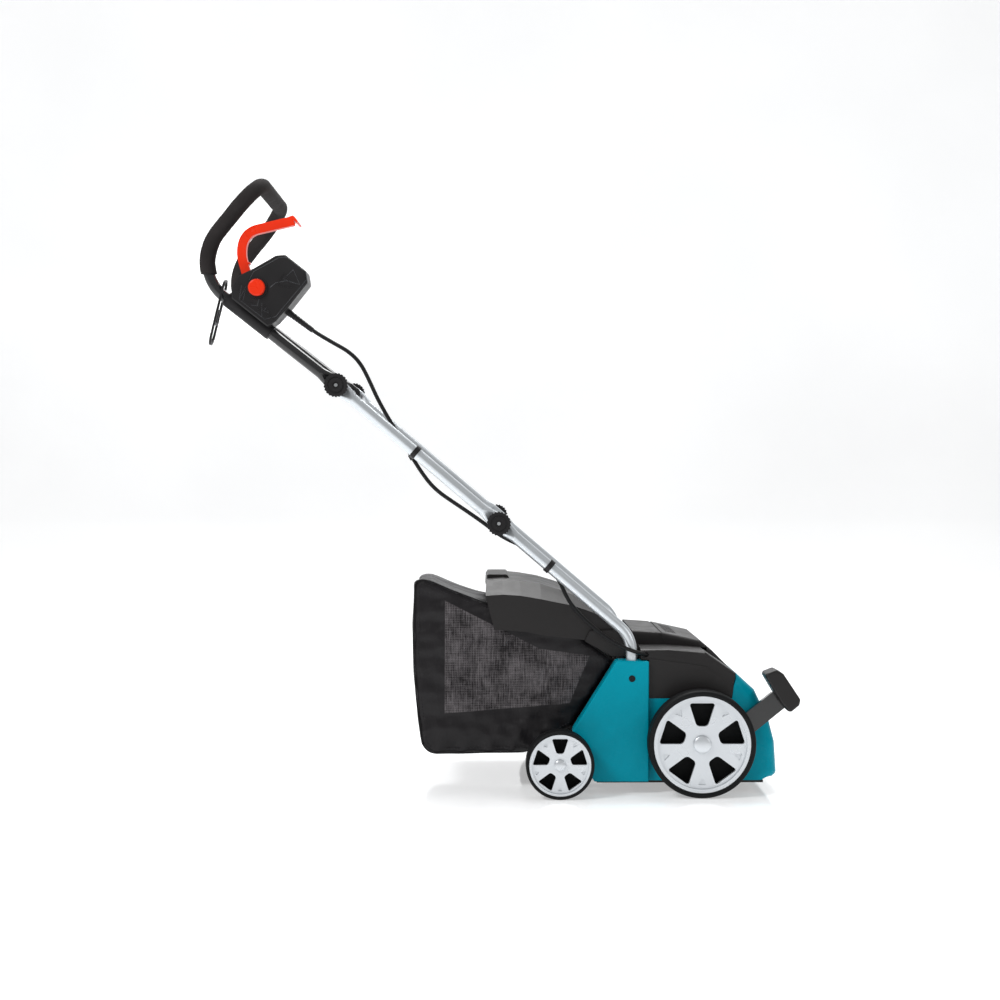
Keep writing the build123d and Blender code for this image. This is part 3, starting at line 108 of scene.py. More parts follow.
# The bag seen from the side, in metres, from the mouth's top round the back to the mouth's foot.
BAG_LINE = [(0.2020, 0.2300), (0.100, 0.302), (-0.030, 0.334), (-0.093, 0.358), (-0.128, 0.374),
            (-0.151, 0.371), (-0.154, 0.256), (-0.149, 0.165), (-0.142, 0.110), (-0.139, 0.078),
            (-0.122, 0.062), (0.050, 0.065), (0.1270, 0.1100)]
BAG_HALF_WIDTH = 0.1625
CLOTH_THICK = 0.0015
BAG_SMOOTHING = 4
MOUTH_FACING, MOUTH_REACH = 0.8, 0.004      # Which faces are the bag's mouth and are cut away
SEAM_STEP = 0.03        # Between the points that draw a seam's line
PIPING_INSET, HEM_INSET = 0.0015, 0.010
THREAD_RADIUS = 0.0006

# The foam grip's skin: its mesh faces, smoothing, and the spacing and depth of its dents.
GRIP_CELL, GRIP_SMOOTHING = 0.0022, 3
GRIP_DENTS_PER_METRE, GRIP_DENT = 55.0, 0.00045

# The raised lines moulded on the switch box's outer face, as x and z in metres.
BOX_FACE_Y = -0.2250
BOX_OUTLINE = [(-0.4482, 0.8591), (-0.4046, 0.8252), (-0.3858, 0.8300), (-0.3323, 0.8936),
               (-0.3343, 0.9073), (-0.3640, 0.9310), (-0.3797, 0.9310), (-0.4232, 0.9072)]
BOX_LINES = [
    [(-0.3551, 0.9104), (-0.3442, 0.8846), (-0.3719, 0.8945), (-0.3551, 0.9104)],
    [(-0.3957, 0.8797), (-0.3858, 0.8876), (-0.3680, 0.8915), (-0.3462, 0.8856)],
    [(-0.4482, 0.8600), (-0.4440, 0.8836)],
    [(-0.4423, 0.8560), (-0.4370, 0.8780)],
    [(-0.4280, 0.8500), (-0.4171, 0.8482), (-0.4141, 0.8600)],
    [(-0.4095, 0.8530), (-0.4095, 0.8290)],
    [(-0.4010, 0.8460), (-0.4060, 0.8400), (-0.3980, 0.8360), (-0.4010, 0.8460)],
]
BUTTON_COLLAR_GAP = 0.0021
BUTTON_COLLAR_POINTS = 36

# Casing screws: body, outward direction and head places, in metres.
SCREW_PLACES = {
    "upper_handle": ((0, 1, 0), [(-0.448, -0.1572, 0.874), (-0.352, -0.1572, 0.902),
                                 (-0.386, -0.1572, 0.838), (-0.372, -0.1572, 0.925)]),
    "chassis": ((0, 0, -1), [(0.186, -0.17, 0.0178), (0.186, 0.17, 0.0178),
                             (0.446, -0.17, 0.0178), (0.446, 0.17, 0.0178),
                             (0.446, 0.0, 0.0178)]),
}
SCREW_HEAD_DEPTH = 0.0016
SCREW_CROSS = ((0.0044, 0.001, 0.0004), (0.001, 0.0044, 0.0004))
SCREW_CROSS_LIFT = 0.0009

# The studio, in metres and watts: a floor that curves up into the backdrop, three lights that look
# at one point, and the camera on the machine's right side.
FLOOR_FRONT, FLOOR_BACK, FLOOR_HALF_WIDTH, BACKDROP_TOP = -6.0, 3.2, 7.0, 7.0
FLOOR_BEND, FLOOR_BEND_STEPS = 1.2, 12
FLOOR_DROP = 0.0004     # Under the wheels, so that the two don't share a surface
FLOOR_GLOW = 0.38
WORLD_STRENGTH = 0.42
LIGHT_TARGET = Vector((0.0, 0.0, 0.45))
LIGHTS = {
    "key_softbox": ((-1.9, -1.9, 2.5), 0.9, 60),
    "fill_softbox": ((2.6, -1.6, 1.3), 1.2, 8),
    "top_softbox": ((0.2, 0.9, 2.7), 1.5, 62),
}
CAMERA_PLACE = (-0.0313, -3.245, 0.5939)
CAMERA_TURN = (math.radians(90 - 1.51), 0, math.radians(-0.59))
CAMERA_LENS, CAMERA_SENSOR = 63.0, 36.0


# ---- sizes and colours --------------------------------------------------------------------------

class ScarifierSizes(bpy.types.PropertyGroup):
    """Sizes that a user may change without touching the CAD model."""

    lead_radius: bpy.props.FloatProperty(
        name="Lead radius", description="Half the lead's outer diameter", default=0.0035,
        unit="LENGTH")
    bag_fold: bpy.props.FloatProperty(
        name="Bag folds", description="Depth of the soft folds in the bag", default=0.0095,
        unit="LENGTH")
    bag_belly: bpy.props.FloatProperty(
        name="Bag belly", description="How far the bag's sides stand out at their middle",
        default=0.006, unit="LENGTH")
    bag_cell: bpy.props.FloatProperty(
        name="Bag cell", description="Size of the bag's mesh faces", default=0.006,
        unit="LENGTH")
    piping_radius: bpy.props.FloatProperty(
        name="Piping radius", description="Half the thickness of the bag's edge piping",
        default=0.0013, unit="LENGTH")
    stitch_length: bpy.props.FloatProperty(
        name="Stitch length", description="Length of one stitch", default=0.0036, unit="LENGTH")
    stitch_pitch: bpy.props.FloatProperty(
        name="Stitch pitch", description="From one stitch to the next", default=0.0056,
        unit="LENGTH")
    rib_radius: bpy.props.FloatProperty(
        name="Rib radius", description="Radius of the raised lines on the switch box",
        default=0.0006, unit="LENGTH")
    screw_radius: bpy.props.FloatProperty(
        name="Screw head radius", description="Radius of the casing screws' heads",
        default=0.0036, unit="LENGTH")


class ScarifierColours(bpy.types.PropertyGroup):
    """Colours as sRGB hex words."""

    teal: bpy.props.StringProperty(
        name="Teal", description="Housing plastic", default="008CA0")
    black: bpy.props.StringProperty(
        name="Black", description="Covers and flap", default="1A1818")
    box_black: bpy.props.StringProperty(
        name="Box black", description="Switch box and small black parts", default="1E1D1E")
    silver: bpy.props.StringProperty(
        name="Silver", description="Painted wheel discs", default="D2D6DA")
    tube: bpy.props.StringProperty(
        name="Tube", description="Bare handle tubes", default="CED3D7")
    red: bpy.props.StringProperty(
        name="Red", description="Switch lever and lock button", default="DE2E0D")
    rubber: bpy.props.StringProperty(
        name="Rubber", description="Tyres", default="0F1011")
    foam: bpy.props.StringProperty(
        name="Foam", description="Hand grip", default="262323")
    cloth: bpy.props.StringProperty(
        name="Cloth", description="The bag", default="171517")


# ---- materials ----------------------------------------------------------------------------------

DULL = 0.22             # Specular level of moulded plastic, low because the studio is all white
RUBBER_DULL = 0.16
MIX_FACTOR, MIX_LOW, MIX_HIGH, MIX_COLOUR = 0, 6, 7, 2     # Sockets of a Mix node for colours

# The mesh window in the bag's side: corners as x and z in metres, anticlockwise from the top back
# one. The last corner is hollow. Its threads are drawn coarser than the real ones, so they show.
WINDOW = [(-0.097, 0.336), (-0.098, 0.135), (0.124, 0.152), (0.160, 0.238), (0.071, 0.250)]
WINDOW_EDGE = 0.0012
MESH_PITCH = 0.0042
THREAD_DARK, THREAD_LIT = "141213", "5E5A5C"


def linear(word):
    """Linear colour from an sRGB hex word."""
    def channel(pair):
        c = int(pair, 16) / 255
        return c / 12.92 if c <= 0.04045 else ((c + 0.055) / 1.055) ** 2.4
    return tuple(channel(word[i:i + 2]) for i in (0, 2, 4)) + (1.0,)


def shade(word, factor):
    """A lighter or darker version of a hex colour, linear."""
    r, g, b, a = linear(word)
    return (r * factor, g * factor, b * factor, a)


def add(tree, kind, inputs=None, **settings):
    """One node, with its settings and its inputs: values, or sockets to link from."""
    node = tree.nodes.new(kind)
    for name, value in settings.items():
        setattr(node, name, value)
    for name, value in (inputs or {}).items():
        if isinstance(value, bpy.types.NodeSocket):
            tree.links.new(value, node.inputs[name])
        else:
            node.inputs[name].default_value = value
    return node


class Finish:
    """A material in the making: a Principled shader and the patterns that drive it."""

    def __init__(self, name, roughness, metallic=0.0, **inputs):
        self.material = bpy.data.materials.new(name)
        self.material.use_nodes = True
        self.tree = self.material.node_tree
        self.shader = self.tree.nodes["Principled BSDF"]
        self.place = add(self.tree, "ShaderNodeTexCoord").outputs["Object"]
        self.relief = None
        self.drive(Roughness=roughness, Metallic=metallic, **inputs)

    def drive(self, **inputs):
        """Sets or links inputs of the shader, named with _ for each space."""
        for name, value in inputs.items():
            socket = self.shader.inputs[name.replace("_", " ")]
            if isinstance(value, bpy.types.NodeSocket):
                self.tree.links.new(value, socket)
            else:
                socket.default_value = value

    def layer(self, size=0.0, pattern=None, pores=False, detail=3.0, stretch=(1, 1, 1),
              colours=None, gloss=None, depth=None, strength=1.0):
        """A pattern in object space, size metres across, and what it varies: the base colour or
        the roughness between two values, or the relief by a depth in metres."""
        if pattern is None and pores:
            pattern = add(self.tree, "ShaderNodeTexVoronoi", {
                "Vector": self.place, "Scale": 1.0 / size}).outputs["Distance"]
        elif pattern is None:
            mapped = add(self.tree, "ShaderNodeMapping", {"Vector": self.place, "Scale": stretch})
            pattern = add(self.tree, "ShaderNodeTexNoise", {
                "Vector": mapped.outputs["Vector"], "Scale": 1.0 / size, "Detail": detail
            }).outputs["Fac"]
        if colours is not None:
            ramp = add(self.tree, "ShaderNodeMapRange", {
                "Value": pattern, "From Min": 0.35, "From Max": 0.65}).outputs["Result"]
            mix = add(self.tree, "ShaderNodeMix", {
                MIX_FACTOR: ramp, MIX_LOW: colours[0], MIX_HIGH: colours[1]}, data_type="RGBA")
            self.drive(Base_Color=mix.outputs[MIX_COLOUR])
        if gloss is not None:
            spread = add(self.tree, "ShaderNodeMapRange", {
                "Value": pattern, "From Min": 0.3, "From Max": 0.7,
                "To Min": gloss[0], "To Max": gloss[1]})
            self.drive(Roughness=spread.outputs["Result"])
        if depth is not None:
            inputs = {"Height": pattern, "Strength": strength, "Distance": depth}
            if self.relief is not None:
                inputs["Normal"] = self.relief
            self.relief = add(self.tree, "ShaderNodeBump", inputs).outputs["Normal"]
            self.drive(Normal=self.relief)
        return pattern


def moulded(name, word, roughness, grain, depth, **inputs):
    """Injection-moulded plastic: a fine spark-eroded grain and faint flow marks."""
    inputs.setdefault("Specular_IOR_Level", DULL)
    look = Finish(name, roughness, **inputs)
    look.layer(0.09, colours=(shade(word, 0.93), shade(word, 1.07)))
    look.layer(0.035, gloss=(roughness - 0.05, roughness + 0.06))
    look.layer(grain, detail=2.0, depth=depth)
    return look.material


def painted(name, word, roughness, metallic, flake, **inputs):
    """Smooth paint or bright tube, with small metal flakes that catch the light."""
    look = Finish(name, roughness, metallic, **inputs)
    look.layer(flake, detail=1.0, colours=(shade(word, 0.95), shade(word, 1.04)))
    look.layer(0.06, gloss=(roughness - 0.02, roughness + 0.03))
    look.layer(0.004, detail=1.0, depth=0.000008)
    return look.material


def drawn_metal(name, word, roughness, stretch, depth=0.00002):
    """Drawn or ground metal with fine lines along one direction."""
    look = Finish(name, roughness, 1.0)
    look.layer(0.0009, detail=4.0, stretch=stretch, depth=depth,
               colours=(shade(word, 0.85), shade(word, 1.05)))
    look.layer(0.02, gloss=(roughness - 0.06, roughness + 0.08))
    return look.material


def rubber(name, word, roughness, pore, depth):
    """Rubber or foam: a dull skin with small open pores and dusty patches."""
    look = Finish(name, roughness, Specular_IOR_Level=RUBBER_DULL)
    look.layer(0.04, colours=(shade(word, 0.85), shade(word, 1.2)))
    look.layer(pore, pores=True, depth=depth)
    look.layer(pore * 4, depth=depth * 0.6)
    return look.material


def window_mask(look):
    """One inside the bag's side window, nought on the rest of the bag."""
    tree = look.tree
    sides = []
    for start, end in zip(WINDOW, WINDOW[1:] + WINDOW[:1]):
        length = math.dist(start, end)
        x, z = (start[1] - end[1]) / length, (end[0] - start[0]) / length
        reach = add(tree, "ShaderNodeVectorMath", {0: look.place, 1: (x, 0.0, z)},
                    operation="DOT_PRODUCT").outputs["Value"]
        sides.append(add(tree, "ShaderNodeMath", {0: reach, 1: x * start[0] + z * start[1]},
                         operation="SUBTRACT").outputs[0])
    # Only faces that look sideways count; the slope scales their tilt to metres.
    normal = add(tree, "ShaderNodeNewGeometry").outputs["Normal"]
    sideways = add(tree, "ShaderNodeSeparateXYZ", {"Vector": normal}).outputs["Y"]
    tilt = add(tree, "ShaderNodeMath", {0: sideways}, operation="ABSOLUTE").outputs[0]
    sides.append(add(tree, "ShaderNodeMath", {0: tilt, 1: 0.02, 2: -0.012},
                     operation="MULTIPLY_ADD").outputs[0])
    beside_hollow = sides[3:5]
    inside = add(tree, "ShaderNodeMath", {0: beside_hollow[0], 1: beside_hollow[1]},
                 operation="MAXIMUM").outputs[0]
    for side in sides[:3] + sides[5:]:
        inside = add(tree, "ShaderNodeMath", {0: inside, 1: side}, operation="MINIMUM").outputs[0]
    return add(tree, "ShaderNodeMapRange", {
        "Value": inside, "From Min": 0.0, "From Max": WINDOW_EDGE}).outputs["Result"]


def bag_cloth(word):
    """The bag's cloth: a woven mesh in the side window, creased coated cloth round it."""
    look = Finish("bag_cloth", 0.5, Specular_IOR_Level=0.24)
    tree = look.tree
    window = window_mask(look)

    waves = add(tree, "ShaderNodeVectorMath", {0: look.place, 1: (math.pi / MESH_PITCH,) * 3},
                operation="MULTIPLY").outputs["Vector"]
    for operation in ("SINE", "ABSOLUTE"):
        waves = add(tree, "ShaderNodeVectorMath", {0: waves},
                    operation=operation).outputs["Vector"]
    apart = add(tree, "ShaderNodeSeparateXYZ", {"Vector": waves}).outputs
    holes = add(tree, "ShaderNodeMath", {0: apart["X"], 1: apart["Z"]},
                operation="MULTIPLY").outputs[0]

    # Streaks up and along the weave and soft clouds light it; the holes darken it: painted shade,
    # with the black cloth of the bag's inside seen through them.
    streaks = add(tree, "ShaderNodeCombineXYZ", {
        "X": look.layer(0.0022, detail=2.0, stretch=(1, 1, 0.10)),
        "Y": look.layer(0.0022, detail=2.0, stretch=(0.10, 1, 1)),
        "Z": look.layer(0.035)}).outputs["Vector"]
    lit = add(tree, "ShaderNodeVectorMath", {0: streaks, 1: (0.9, 0.45, 0.9)},
              operation="DOT_PRODUCT").outputs["Value"]
    lit = add(tree, "ShaderNodeMath", {0: holes, 1: -0.22, 2: lit},
              operation="MULTIPLY_ADD").outputs[0]
    lit = add(tree, "ShaderNodeMapRange", {
        "Value": lit, "From Min": 0.75, "From Max": 1.35}).outputs["Result"]

    woven = add(tree, "ShaderNodeMix", {
        MIX_FACTOR: lit, MIX_LOW: linear(THREAD_DARK), MIX_HIGH: linear(THREAD_LIT)},
        data_type="RGBA").outputs[MIX_COLOUR]
    coat = add(tree, "ShaderNodeMix", {
        MIX_FACTOR: look.layer(0.05), MIX_LOW: shade(word, 0.7), MIX_HIGH: shade(word, 1.25)},
        data_type="RGBA").outputs[MIX_COLOUR]
    cloth = add(tree, "ShaderNodeMix", {
        MIX_FACTOR: window, MIX_LOW: coat, MIX_HIGH: woven}, data_type="RGBA")
    dullness = add(tree, "ShaderNodeMapRange", {"Value": window, "To Min": 0.42, "To Max": 0.8})
    look.drive(Base_Color=cloth.outputs[MIX_COLOUR], Roughness=dullness.outputs["Result"])

    sunk = add(tree, "ShaderNodeMath", {0: holes, 1: window}, operation="MULTIPLY").outputs[0]
    look.layer(pattern=sunk, depth=0.0005)
    look.layer(0.0012, detail=2.0, depth=0.00008)
    look.layer(0.03, stretch=(1, 1, 0.5), depth=0.004, strength=0.8)
    look.layer(0.09, detail=2.0, stretch=(0.5, 1, 1.4), depth=0.022, strength=0.9)
    return look.material


def make_finishes(colours):
    """Every finish of the machine, by its name."""
    return {
        # Glossy polypropylene: deep colour, a soft highlight, almost no grain.
        "teal_plastic": moulded("teal_plastic", colours.teal, 0.26, 0.0011, 0.00002,
                                Specular_IOR_Level=0.07),
        # Grained ABS covers: a wide dull sheen on their tops, sandy texture close up.
        "black_plastic": moulded("black_plastic", colours.black, 0.42, 0.0010, 0.00009,
                                 Specular_IOR_Level=0.32),
        # Nylon of the switch box, straps and knobs: finer grain and a little more shine.
        "box_plastic": moulded("box_plastic", colours.box_black, 0.38, 0.0008, 0.00005),
        # Raised lines in a lighter grey than the box: a painted highlight where they catch the
        # light.
        "worn_edge_plastic": moulded("worn_edge_plastic", "3C3D40", 0.3, 0.0008, 0.00003),
        # Hard tyre rubber: nearly black, dull, with a dusty bloom.
        "tyre_rubber": rubber("tyre_rubber", colours.rubber, 0.62, 0.0009, 0.00007),
        # Aluminium-coloured wheel paint: bright and even, with a fine sparkle.
        "silver_paint": painted("silver_paint", colours.silver, 0.28, 0.6, 0.0006),
        # Satin anodised tube: one long highlight with grey sides.
        "silver_tube": painted("silver_tube", colours.tube, 0.3, 0.8, 0.0012),
        # Black baked enamel on steel: dark with a sharp highlight.
        "black_enamel": painted("black_enamel", "161617", 0.2, 0.0, 0.004, Coat_Weight=0.4),
        # Orange-red acetal: saturated, with a little light inside its edges.
        "red_plastic": moulded("red_plastic", colours.red, 0.3, 0.0014, 0.00003,
                               Subsurface_Weight=0.05),
        # Zinc-plated steel: cool grey with fine turned lines.
        "zinc_steel": drawn_metal("zinc_steel", "B8BBBD", 0.32, (1, 0.05, 1)),
        # Pod screws in dark grey steel, barely shining: painted shade of the dark holes they sit
        # in.
        "black_steel": drawn_metal("black_steel", "2B2D2F", 0.45, (1, 0.3, 1)),
        # Ground spring steel of the blades: darker, with coarser grinding lines.
        "blade_steel": drawn_metal("blade_steel", "8A8C8E", 0.38, (1, 0.2, 1), 0.00005),
        # Die-cast aluminium: pale, rough and even in every direction.
        "cast_aluminium": drawn_metal("cast_aluminium", "B9BBBC", 0.5, (1, 1, 1), 0.0002),
        # Belt rubber: dull with an open grain.
        "belt_rubber": rubber("belt_rubber", "1B1B1C", 0.7, 0.0012, 0.0001),
        # Enamelled copper wire: brown-orange with lines along the windings.
        "copper_winding": drawn_metal("copper_winding", "9A6A45", 0.35, (1, 0.1, 1), 0.0001),
        # Foam of the grip: soft charcoal, no shine, open pores.
        "foam": rubber("foam", colours.foam, 0.9, 0.0013, 0.00022),
        # Rubber sheath of the lead: black with a soft line of light.
        "lead_sheath": moulded("lead_sheath", "121213", 0.42, 0.0008, 0.00003),
        # Polyester cloth: pale woven window in dark, creased, coated cloth.
        "bag_cloth": bag_cloth(colours.cloth),
        # Woven tape over the seams: black and dull, slightly ribbed.
        "piping": rubber("piping", "121112", 0.6, 0.0010, 0.00012),
        # Sewing thread: a shade lighter than the cloth.
        "thread": rubber("thread", "2C2B2D", 0.8, 0.0006, 0.00005),
    }


FINISHES = {}


# ---- mesh helpers -------------------------------------------------------------------------------

def new_object(name, mesh, finish):
    """A linked object with one finish."""
    thing = bpy.data.objects.new(name, mesh)
    bpy.context.scene.collection.objects.link(thing)
    mesh.materials.clear()
    mesh.materials.append(FINISHES[finish])
    return thing


def baked(thing, name, finish, smooth=True):
    """A plain mesh object made from an object's evaluated shape; the old one is removed."""
    bpy.context.view_layer.update()
    evaluated = thing.evaluated_get(bpy.context.evaluated_depsgraph_get())
    mesh = bpy.data.meshes.new_from_object(evaluated)
    mesh.transform(thing.matrix_world)
    bpy.data.objects.remove(thing)
    for polygon in mesh.polygons:
        polygon.use_smooth = smooth
    return new_object(name, mesh, finish)


def nurbs(name, points, radius, resolution=6):
    """A round tube along one smooth line."""
    curve = bpy.data.curves.new(name, "CURVE")
    curve.dimensions = "3D"
    spline = curve.splines.new("NURBS")
    spline.points.add(len(points) - 1)
    for target, point in zip(spline.points, points):
        target.co = (*point, 1.0)
    spline.order_u = 3
    spline.use_endpoint_u = True
    curve.resolution_u = 8
    curve.bevel_depth = radius
    curve.bevel_resolution = resolution
    curve.use_fill_caps = True
    thing = bpy.data.objects.new(name, curve)
    bpy.context.scene.collection.objects.link(thing)
    return thing


def softened(mesh, cell, rounds, name, finish):
    """An even, rounded skin over a mesh: faces of one size, smoothed a few rounds."""
    work = bpy.data.objects.new(f"{name}_work", mesh)
    bpy.context.scene.collection.objects.link(work)
    remesh = work.modifiers.new("even", "REMESH")
    remesh.mode = "VOXEL"
    remesh.voxel_size = cell
    smooth = work.modifiers.new("soft", "SMOOTH")
    smooth.iterations = rounds
    return baked(work, name, finish)


def scaffold(name, corners, edges):
    """A linked object of bare corners and edges, for Geometry Nodes to grow on."""
    mesh = bpy.data.meshes.new(name)
    mesh.from_pydata(corners, edges, [])
    thing = bpy.data.objects.new(name, mesh)
    bpy.context.scene.collection.objects.link(thing)
    return thing


def ramp(value, start, end):
    """How far a value has gone from start to end, from nought to one."""
    return min(1.0, max(0.0, (value - start) / (end - start)))


def new_tree(name, inputs):
    """A Geometry Nodes tree with a geometry and the given inputs, and its input sockets."""
    tree = bpy.data.node_groups.new(name, "GeometryNodeTree")
    for label, kind in (("Geometry", "Geometry"), *inputs):
        tree.interface.new_socket(label, in_out="INPUT", socket_type=f"NodeSocket{kind}")
    tree.interface.new_socket("Geometry", in_out="OUTPUT", socket_type="NodeSocketGeometry")
    return tree, add(tree, "NodeGroupInput").outputs


def end_tree(tree, geometry, material):
    """Makes a tree's instances real, gives them a material and puts them out."""
    real = add(tree, "GeometryNodeRealizeInstances", {"Geometry": geometry})
    done = add(tree, "GeometryNodeSetMaterial", {
        "Geometry": real.outputs["Geometry"], "Material": material})
    add(tree, "NodeGroupOutput", {"Geometry": done.outputs["Geometry"]})


def set_inputs(modifier, **values):
    """Sets a Geometry Nodes modifier's inputs by their names."""
    for item in modifier.node_group.interface.items_tree:
        if item.item_type == "SOCKET" and item.in_out == "INPUT":
            key = item.name.lower().replace(" ", "_")
            if key in values:
                modifier[item.identifier] = values[key]


def grown(thing, tree, name, finish, smooth=True, **values):
    """The plain mesh that a Geometry Nodes tree grows on an object, with the tree's inputs set."""
    modifier = thing.modifiers.new(name, "NODES")
    modifier.node_group = tree
    set_inputs(modifier, **values)
    return baked(thing, name, finish, smooth)


# ---- pieces -------------------------------------------------------------------------------------

class SCARIFIER_OT_finishes(bpy.types.Operator):
    """Makes the finishes and gives them to the CAD nodes"""

    bl_idname = "scarifier.finishes"
    bl_label = "Finishes"

    def execute(self, context):
        FINISHES.update(make_finishes(context.scene.scarifier_colours))
        for finish, names in FINISH_OF.items():
            for name in names:
                mesh = NODES[name].data
                mesh.materials.clear()
                mesh.materials.append(FINISHES[finish])
        return {"FINISHED"}


class SCARIFIER_OT_lead(bpy.types.Operator):
    """Makes the three stretches of the lead; the lowest one is attached to the chassis"""

    bl_idname = "scarifier.lead"
    bl_label = "Lead"

    def execute(self, context):
        radius = context.scene.scarifier_sizes.lead_radius
        made = {}
        for name, points in LEAD_ROUTES.items():
            tube = nurbs(name, points, radius)
            made[name] = baked(tube, f"{name}_sheath", "lead_sheath")
        for name, node in (("upper_lead", "cable_upper"), ("middle_lead", "cable_mid"),
                           ("lower_lead", "cable_lower")):
            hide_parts(node)
        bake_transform(made["upper_lead"])
        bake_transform(made["middle_lead"])
        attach(made["lower_lead"], "chassis")
        return {"FINISHED"}


class SCARIFIER_OT_grip(bpy.types.Operator):
    """Makes the foam grip, with soft rounded ends and a slightly uneven skin"""

    bl_idname = "scarifier.grip"
    bl_label = "Foam grip"

    def execute(self, context):
        mesh = NODES["foam_grip"].data.copy()
        work = bmesh.new()
        work.from_mesh(mesh)
        bmesh.ops.remove_doubles(work, verts=work.verts, dist=1e-5)
        work.to_mesh(mesh)
        work.free()
        grip = softened(mesh, GRIP_CELL, GRIP_SMOOTHING, "foam_grip_skin", "foam")
        for vertex in grip.data.vertices:
            dent = noise.noise(vertex.co * GRIP_DENTS_PER_METRE) * GRIP_DENT
            vertex.co += vertex.normal * dent
        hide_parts("foam_grip")
        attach(grip, "upper_handle")
        return {"FINISHED"}


def bag_prism():
    """The bag's closed outline at its full width, as a mesh."""
    shape = bmesh.new()
    ends = []
    for side in (-1, 1):
        corners = [shape.verts.new((x, side * (BAG_HALF_WIDTH - 0.001), z)) for x, z in BAG_LINE]
        ends.append(corners)
        shape.faces.new(corners)
    count = len(BAG_LINE)
    for i in range(count):
        j = (i + 1) % count
        shape.faces.new((ends[0][i], ends[0][j], ends[1][j], ends[1][i]))
    bmesh.ops.recalc_face_normals(shape, faces=shape.faces)
    mesh = bpy.data.meshes.new("bag_prism")
    shape.to_mesh(mesh)
    shape.free()
    return mesh


def bag_shape(co, sizes):
    """Where a point of the stiff prism goes on the real, soft bag."""
    x, y, z = co
    side = 1 if y > 0 else -1
    across = y / BAG_HALF_WIDTH
    flank = min(1.0, abs(across)) ** 6      # One on the bag's sides, nought on its other faces
    face = 1.0 - flank

    # The sides stand out behind the frame, and creases pull them in, most of all low down.
    belly = sizes.bag_belly * math.sin(math.pi * ramp(z, 0.06, 0.36)) * ramp(x, 0.02, -0.08)
    steep = math.sin(x * 95 + z * 34 + 2.0 * noise.noise(Vector((x * 9, side, z * 9))))
    level = math.sin(z * 120 - x * 45 + 3.0 * noise.noise(Vector((x * 6, side * 2, z * 7))))
    crease = abs(steep + 0.7 * level) * sizes.bag_fold * (0.25 + 0.75 * ramp(z, 0.16, 0.06)) * 0.5

    # The top sags between its edges, more towards the left; the foot and the back are uneven.
    crest = ramp(z, 0.22, 0.32) * ramp(x, 0.06, -0.06)
    sag = crest * 0.006 * (face * max(0.0, 1 - abs(across)) + 1 + across)
    rise = 0.0025 * (1 + math.sin(x * 60 + y * 21)) * face if z < 0.09 else 0.0
    bulge = 0.5 * math.cos(across * math.pi) + 0.3 * math.sin(z * 70 + y * 25)
    back = 0.005 * face * bulge if x < -0.12 else 0.0
    return Vector((x + back, y + side * flank * (belly - crease), z - sag + rise))


class SCARIFIER_OT_bag(bpy.types.Operator):
    """Makes the grass bag: a hollow soft shell, open at its mouth"""

    bl_idname = "scarifier.bag"
    bl_label = "Grass bag"

    def execute(self, context):
        sizes = context.scene.scarifier_sizes
        bag = softened(bag_prism(), sizes.bag_cell, BAG_SMOOTHING, "bag_shell", "bag_cloth")
        mesh = bag.data
        high = Vector((BAG_LINE[0][0], 0, BAG_LINE[0][1]))
        low = Vector((BAG_LINE[-1][0], 0, BAG_LINE[-1][1]))
        along = (high - low).normalized()
        outward = Vector((along.z, 0, -along.x))
        shape = bmesh.new()
        shape.from_mesh(mesh)
        mouth = [f for f in shape.faces if f.normal.dot(outward) > MOUTH_FACING
                 and (f.calc_center_median() - low).dot(outward) > -MOUTH_REACH]
        bmesh.ops.delete(shape, geom=mouth, context="FACES")
        for vertex in shape.verts:
            vertex.co = bag_shape(vertex.co, sizes)
        shape.to_mesh(mesh)
        shape.free()
        solid = bag.modifiers.new("cloth", "SOLIDIFY")
        solid.thickness = CLOTH_THICK
        solid.offset = -1.0
        bag = baked(bag, "grass_bag", "bag_cloth")
        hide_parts("bag_fabric")
        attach(bag, "bag_body")
        return {"FINISHED"}


def seam_points(side, inset):
    """The bag's side seam, from the mouth's top round the back to its foot."""
    dense = []
    for start, end in zip(BAG_LINE, BAG_LINE[1:]):
        steps = max(1, round(math.dist(start, end) / SEAM_STEP))
        dense += [Vector(start).lerp(Vector(end), i / steps) for i in range(steps)]
    dense.append(Vector(BAG_LINE[-1]))
    points = []
    for i, place in enumerate(dense):
        way = (dense[min(len(dense) - 1, i + 1)] - dense[max(0, i - 1)]).normalized()
        points.append((place.x - way.y * inset, side * (BAG_HALF_WIDTH - CLOTH_THICK),
                       place.y + way.x * inset))
    return points


def stitch_tree():
    """Geometry Nodes: short thick threads laid along a seam."""
    tree, given = new_tree("seam_stitches", (
        ("Pitch", "Float"), ("Stitch Length", "Float"), ("Thread Radius", "Float"),
        ("Thread", "Material")))
    spaced = add(tree, "GeometryNodeResampleCurve", {
        "Curve": given["Geometry"], "Length": given["Pitch"]}, mode="LENGTH")
    tangent = add(tree, "GeometryNodeInputTangent")
    turn = add(tree, "FunctionNodeAlignEulerToVector", {
        "Vector": tangent.outputs["Tangent"]}, axis="Z")
    stitch = add(tree, "GeometryNodeMeshCylinder", {
        "Vertices": 6, "Radius": given["Thread Radius"], "Depth": given["Stitch Length"]})
    laid = add(tree, "GeometryNodeInstanceOnPoints", {
        "Points": spaced.outputs["Curve"], "Instance": stitch.outputs["Mesh"],
        "Rotation": turn.outputs["Rotation"]})
    end_tree(tree, laid.outputs["Instances"], given["Thread"])
    return tree


